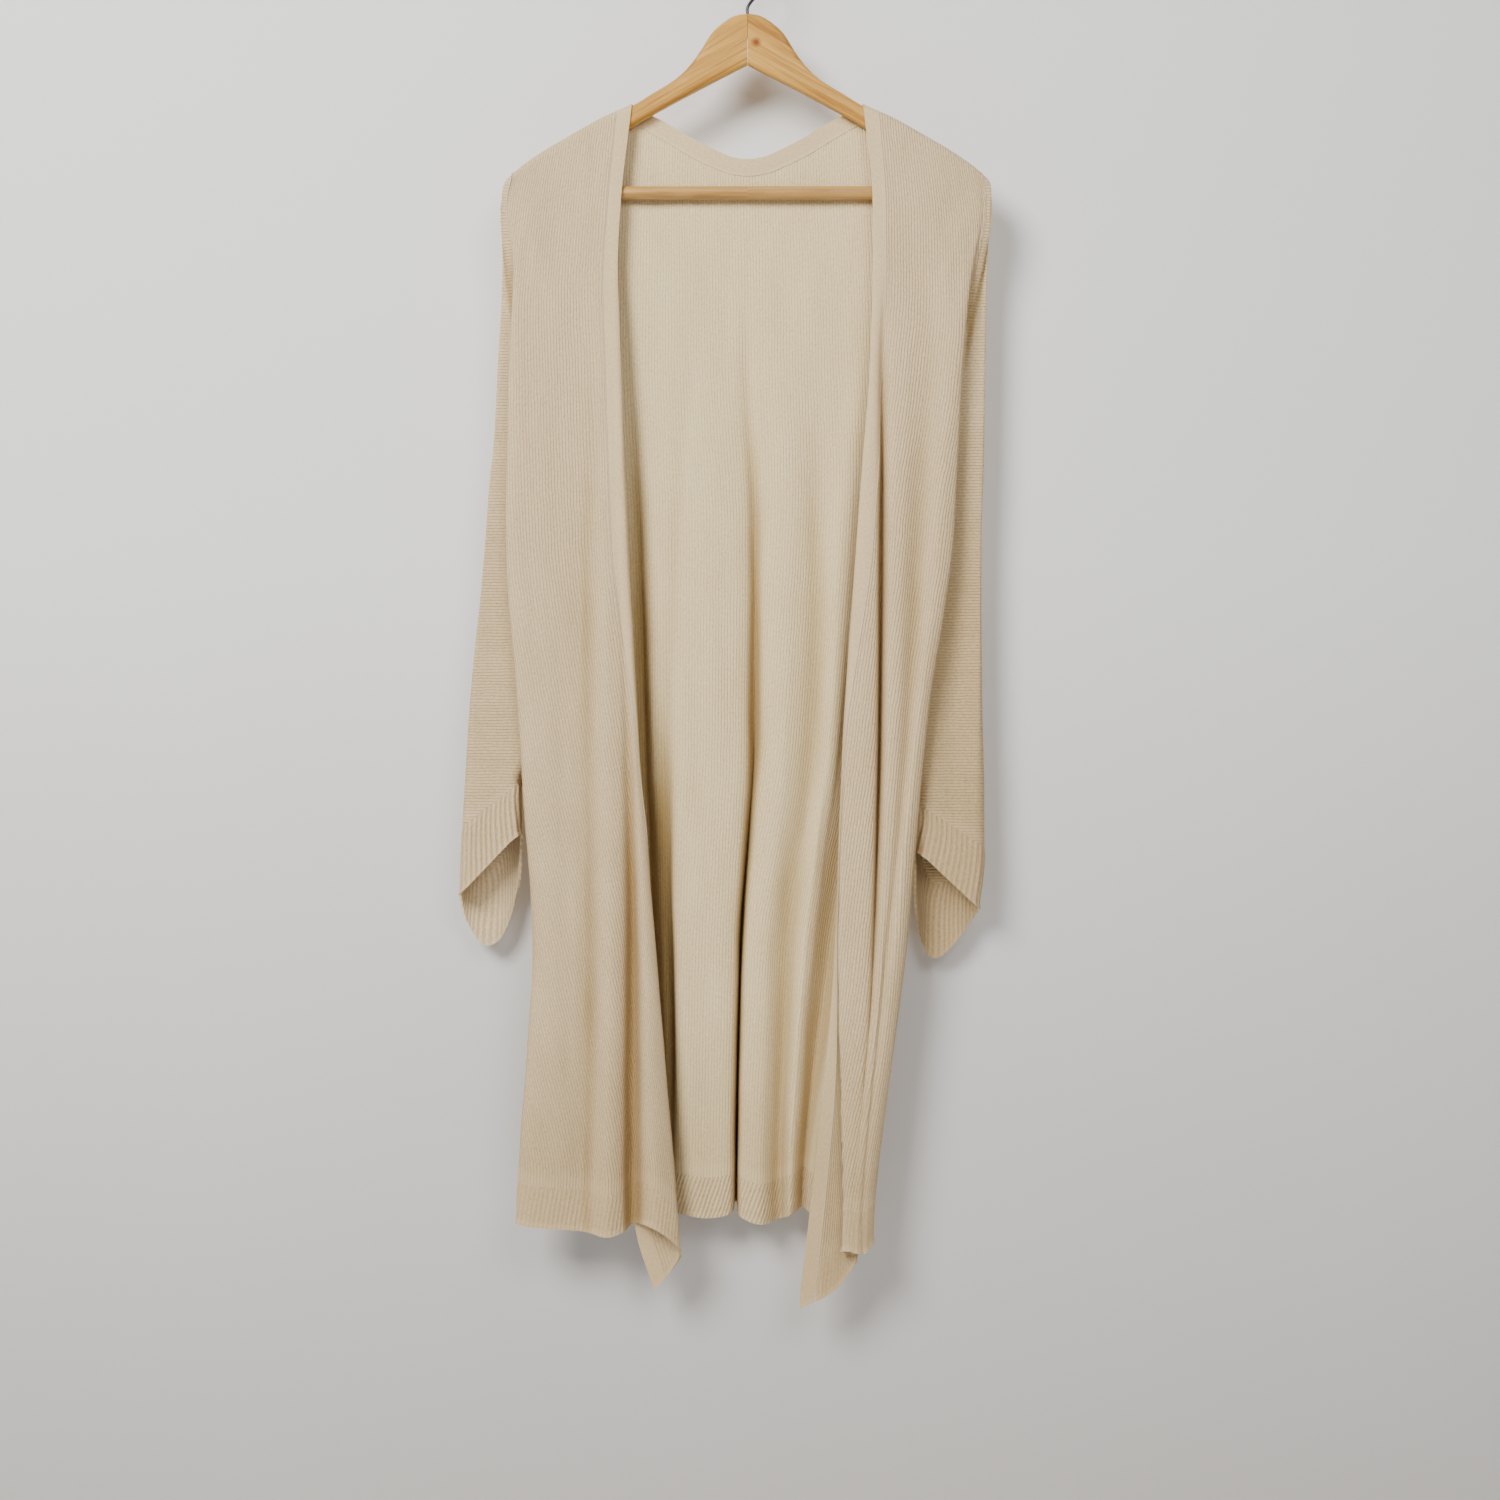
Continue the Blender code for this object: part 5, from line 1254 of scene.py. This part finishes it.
def makeGrainGroup():
    tree, given, result = shaderGroup(
        "woodGrain",
        (
            ("Light Wood", "NodeSocketColor", (0.72, 0.47, 0.22, 1)),
            ("Dark Wood", "NodeSocketColor", (0.42, 0.22, 0.08, 1)),
            ("Slope", "NodeSocketFloat", 0.0),
        ),
        (("Color", "NodeSocketColor"), ("Height", "NodeSocketFloat"), ("Roughness", "NodeSocketFloat")),
    )
    where = objectPlace(tree)
    split = tree.nodes.new("ShaderNodeSeparateXYZ")
    tree.links.new(where, split.inputs[0])
    x, y, z = split.outputs
    reach = mathNode(tree, "ABSOLUTE", x)
    cosine = mathNode(tree, "COSINE", given.outputs[2])
    sine = mathNode(tree, "SINE", given.outputs[2])
    downwards = mathNode(tree, "MULTIPLY", z, sine)
    along = mathNode(tree, "SUBTRACT", mathNode(tree, "MULTIPLY", reach, cosine), downwards)
    across = weighted(tree, (reach, sine), (z, cosine))
    other = mathNode(tree, "ADD", y, mathNode(tree, "MULTIPLY", mathNode(tree, "SIGN", x), 0.11))
    joined = tree.nodes.new("ShaderNodeCombineXYZ")
    for value, socket in zip((along, other, across), joined.inputs):
        tree.links.new(value, socket)
    rings = noiseNode(tree, stretched(tree, joined.outputs[0], (7, 160, 210)), 1.0, 4.0, 0.55, 0.8)
    pores = noiseNode(tree, stretched(tree, joined.outputs[0], (60, 900, 1300)), 1.0, 3.0, 0.7)
    tone = noiseNode(tree, stretched(tree, joined.outputs[0], (9, 30, 40)), 1.0, 2.0)
    shade = weighted(tree, (rings, 0.8), (pores, 0.3), (tone, 0.35))
    wood = mixColours(tree, rangeNode(tree, shade, 0.52, 0.92), given.outputs[1], given.outputs[0])
    spot = tree.nodes.new("ShaderNodeVectorMath")
    spot.operation = "DISTANCE"
    spot.inputs[1].default_value = knotValues["place"]
    tree.links.new(where, spot.inputs[0])
    near = mathNode(tree, "ADD", spot.outputs["Value"], mathNode(tree, "MULTIPLY", pores, 0.002))
    knot = rangeNode(tree, near, *knotValues["reach"], 1.0, 0.0)
    wood = mixColours(tree, knot, wood, knotValues["colour"])
    tree.links.new(wood, result.inputs["Color"])
    tree.links.new(weighted(tree, (rings, 1.0), (pores, 0.5)), result.inputs["Height"])
    tree.links.new(rangeNode(tree, pores, 0.2, 0.8, 0.42, 0.28), result.inputs["Roughness"])
    return tree


def woodMaterial(name, values):
    made, tree, shader = newMaterial(name)
    group = tree.nodes.new("ShaderNodeGroup")
    group.node_tree = grainGroup
    group.inputs["Light Wood"].default_value = (*values["light"], 1)
    group.inputs["Dark Wood"].default_value = (*values["dark"], 1)
    group.inputs["Slope"].default_value = values["slope"]
    painted(tree, shader, group.outputs["Color"], group.outputs["Roughness"])
    bumped(tree, shader, group.outputs["Height"], values["grainDepth"], 0.6)
    shader.inputs["Coat Weight"].default_value = values["varnish"]
    shader.inputs["Specular IOR Level"].default_value = values["shine"]
    shader.inputs["Coat Roughness"].default_value = values["coatRoughness"]
    made.diffuse_color = (*values["light"], 1)
    return made


armValues = {
    "light": (0.66, 0.37, 0.078), "dark": (0.3, 0.125, 0.018), "slope": armSlope,
    "varnish": 0.02, "shine": 0.15, "grainDepth": 0.00012, "coatRoughness": 0.18,
    "outlineSteps": 3, "roundingSteps": 7,
}
barValues = {
    "light": (0.62, 0.36, 0.1), "dark": (0.3, 0.14, 0.03), "slope": 0.0,
    "varnish": 0.1, "shine": 0.5, "grainDepth": 0.00012, "coatRoughness": 0.18, "rings": 24, "sides": 40,
}
grainGroup = makeGrainGroup()
armWood = woodMaterial("varnishedWoodArms", armValues)
barWood = woodMaterial("varnishedWoodBar", barValues)


def plainMesh(obj):
    mesh = finishedMesh(obj)
    obj.modifiers.clear()
    obj.data = mesh
    mesh.shade_smooth()
    mesh.set_sharp_from_angle(angle=sharpAngles["wood"])


def hangerArm(word, side):
    corners = list(armTopInner) + list(armTopOuter) + list(armTip) + list(armUnder)
    knots = np.array([[(max(x, seamGap / 2), 0.0, z) for x, z in corners]])
    upper = curvesThrough(knots, armValues["outlineSteps"])[0]
    outline = [(side * max(float(x), seamGap / 2), float(z)) for x, _, z in upper]
    half = armThick / 2
    count = len(outline)
    verts = [(x * mm, y * mm, z * mm) for y in (-half, half) for x, z in outline]
    faces = [tuple(range(count)), tuple(range(2 * count - 1, count - 1, -1))]
    faces += [(i, i + count, (i + 1) % count + count, (i + 1) % count) for i in range(count)]
    if side > 0:
        faces = [tuple(reversed(face)) for face in faces]
    mesh = bpy.data.meshes.new(f"hangerArm{word}")
    mesh.from_pydata(verts, [], faces)
    obj = newObject(f"hangerArm{word}", mesh, armWood)
    weight = mesh.attributes.new("bevel_weight_edge", "FLOAT", "EDGE")
    for edge in mesh.edges:
        a, b = edge.vertices
        onFace = (a < count) == (b < count)
        onJoint = all(abs(outline[v % count][0]) <= seamGap / 2 + 0.01 for v in (a, b))
        weight.data[edge.index].value = 1.0 if onFace and not onJoint else 0.0
    bevel = obj.modifiers.new("rounded edges", "BEVEL")
    bevel.width = armEdgeRound * mm
    bevel.segments = armValues["roundingSteps"]
    bevel.limit_method = "WEIGHT"
    plainMesh(obj)
    standFor(obj, f"hanger_arm_{word.lower()}")


hangerArm("Right", -1)
hangerArm("Left", 1)


def sweptTube(name, path, radius, sides, finish):
    path = np.asarray(path, float)
    ahead = np.gradient(path, axis=0)
    ahead /= np.linalg.norm(ahead, axis=1, keepdims=True)
    side = np.broadcast_to(np.array((0.0, 1.0, 0.0)), path.shape)
    up = np.cross(ahead, side)
    radii = np.broadcast_to(np.asarray(radius, float), (len(path),))
    verts = []
    for k in range(sides):
        angle = 2 * math.pi * k / sides
        verts.append(path + (side * math.cos(angle) + up * math.sin(angle)) * radii[:, None])
    verts = np.stack(verts, axis=1).reshape(-1, 3) * mm
    faces = []
    for r in range(len(path) - 1):
        for k in range(sides):
            n = (k + 1) % sides
            faces.append((r * sides + k, r * sides + n, (r + 1) * sides + n, (r + 1) * sides + k))
    faces.append(tuple(range(sides))[::-1])
    faces.append(tuple((len(path) - 1) * sides + k for k in range(sides)))
    mesh = bpy.data.meshes.new(name)
    mesh.from_pydata([tuple(v) for v in verts], [], faces)
    mesh.shade_smooth()
    mesh.set_sharp_from_angle(angle=sharpAngles["tube"])
    return newObject(name, mesh, finish)


barPath = [(x, 0, barHeight) for x in np.linspace(-barHalfLength, barHalfLength, barValues["rings"])]
bar = sweptTube("hangerBar", barPath, barDiameter / 2, barValues["sides"], barWood)
standFor(bar, "hanger_bar")


hookValues = {
    "lacquer": (0.012, 0.012, 0.013), "rubbed": (0.09, 0.085, 0.08), "metallic": 0.5, "coat": 0.3,
    "sides": 20, "pathSteps": 4,
}


def wireMaterial():
    made, tree, shader = newMaterial("blackLacqueredWire")
    where = objectPlace(tree)
    rub = noiseNode(tree, where, 260.0, 4.0, 0.6)
    worn = rangeNode(tree, rub, 0.62, 0.75)
    lacquer = mixColours(tree, worn, hookValues["lacquer"], hookValues["rubbed"])
    painted(tree, shader, lacquer, rangeNode(tree, rub, 0.3, 0.7, 0.28, 0.45))
    bumped(tree, shader, noiseNode(tree, where, 900.0, 2.0), 0.00005, 0.5)
    shader.inputs["Metallic"].default_value = hookValues["metallic"]
    shader.inputs["Coat Weight"].default_value = hookValues["coat"]
    return made


def hook():
    radius = hookInsideRadius + wireDiameter / 2
    knots = [(x, 0, z) for x, z in hookStem]
    fromAngle, toAngle, steps = hookRound
    for step in range(steps + 1):
        angle = math.radians(fromAngle + (toAngle - fromAngle) * step / steps)
        knots.append((radius * math.cos(angle), 0, radius * math.sin(angle) - hookInsideRadius))
    path = curvesThrough(np.array([knots], float), hookValues["pathSteps"])[0]
    radii = np.full(len(path), wireDiameter / 2)
    ends = np.linalg.norm(path - path[-1], axis=1)
    tip = ends < wireDiameter / 2
    radii[tip] = np.sqrt(np.maximum((wireDiameter / 2) ** 2 - (wireDiameter / 2 - ends[tip]) ** 2, 0.15))
    obj = sweptTube("hangerHook", path, radii, hookValues["sides"], wireMaterial())
    standFor(obj, "hanger_hook")


hook()
print("stage: hanger")


# Stage, light and camera.
stageValues = {
    "wallY": 0.052, "floorZ": -1.62, "wallColour": (0.76, 0.757, 0.753), "wallFootShade": (0.52, 0.495, 0.475),
    "floorColour": (0.74, 0.73, 0.72), "halfWidth": 4.0, "wallTop": 2.5,
}


def stageMaterial(name, colour, foot, seenFromBehind):
    made, tree, shader = newMaterial(name)
    where = objectPlace(tree)
    mottle = noiseNode(tree, where, 3.0, 3.0)
    split = tree.nodes.new("ShaderNodeSeparateXYZ")
    tree.links.new(where, split.inputs[0])
    height = mathNode(tree, "ADD", split.outputs[2], mathNode(tree, "MULTIPLY", mottle, 0.12))
    # The wall is painted darker towards its foot as painted shade, with a faint mottle; the floor gets one
    # colour throughout.
    paint = mixColours(tree, rangeNode(tree, height, -1.4, -0.5), foot, colour)
    tree.links.new(paint, shader.inputs["Base Color"])
    shader.inputs["Roughness"].default_value = 0.9
    if not seenFromBehind:
        clear = tree.nodes.new("ShaderNodeBsdfTransparent")
        side = tree.nodes.new("ShaderNodeNewGeometry")
        mix = tree.nodes.new("ShaderNodeMixShader")
        tree.links.new(side.outputs["Backfacing"], mix.inputs[0])
        tree.links.new(shader.outputs[0], mix.inputs[1])
        tree.links.new(clear.outputs[0], mix.inputs[2])
        tree.links.new(mix.outputs[0], tree.nodes["Material Output"].inputs["Surface"])
    return made


def stagePlane(name, corners, finish, castsShadow):
    mesh = bpy.data.meshes.new(name)
    mesh.from_pydata(corners, [], [(0, 1, 2, 3)])
    obj = newObject(name, mesh, finish)
    # The rear light reaches the cloth through the wall, which stands only behind the front view.
    obj.visible_shadow = castsShadow


wallY, floorZ = stageValues["wallY"], stageValues["floorZ"]
wide, wallTop = stageValues["halfWidth"], stageValues["wallTop"]
stagePlane(
    "backdrop",
    [(x, wallY, z) for x, z in ((-wide, floorZ), (wide, floorZ), (wide, wallTop), (-wide, wallTop))],
    stageMaterial("paleWall", stageValues["wallColour"], stageValues["wallFootShade"], False), False,
)
stagePlane(
    "floor", [(x, y, floorZ) for x, y in ((-wide, -wide), (wide, -wide), (wide, wide), (-wide, wide))],
    stageMaterial("paleFloor", stageValues["floorColour"], stageValues["floorColour"], True), True,
)


def areaLight(name, place, target, size, power, colour):
    light = bpy.data.lights.new(name, "AREA")
    light.shape = "DISK"
    light.size = size
    light.energy = power
    light.color = colour
    obj = bpy.data.objects.new(name, light)
    bpy.context.scene.collection.objects.link(obj)
    obj.location = place
    away = np.array(target, float) - np.array(place, float)
    away /= np.linalg.norm(away)
    yaw = math.atan2(away[1], away[0]) - math.pi / 2
    pitch = math.asin(away[2]) + math.pi / 2
    obj.rotation_euler = (pitch, 0, yaw)


lightValues = {
    "key": ((-1.25, -2.1, 0.7), 1.2, 112.0, (1.0, 0.99, 0.975)),
    "fill": ((0.8, -2.3, 0.6), 1.3, 30.0, (1.0, 0.99, 0.98)),
    "rear": ((0.6, 2.6, 0.4), 1.6, 40.0, (1.0, 1.0, 1.0)),
    "target": (0.0, 0.0, -0.65), "world": 0.09,
}
for lightName in ("key", "fill", "rear"):
    place, size, power, colour = lightValues[lightName]
    areaLight(lightName + "Light", place, lightValues["target"], size, power, colour)
world = bpy.data.worlds.new("paleRoom")
world.use_nodes = True
world.node_tree.nodes["Background"].inputs["Color"].default_value = (0.98, 0.985, 1.0, 1)
world.node_tree.nodes["Background"].inputs["Strength"].default_value = lightValues["world"]
bpy.context.scene.world = world

cameraValues = {"place": (0.0023, -1.9, -0.7445), "lens": 49.0, "sensor": 36.0}
camera = bpy.data.cameras.new("camera")
camera.lens = cameraValues["lens"]
camera.sensor_width = cameraValues["sensor"]
eye = bpy.data.objects.new("camera", camera)
eye.location = cameraValues["place"]
eye.rotation_euler = (math.radians(90), 0, 0)
bpy.context.scene.collection.objects.link(eye)
bpy.context.scene.camera = eye
print("stage: camera and light")
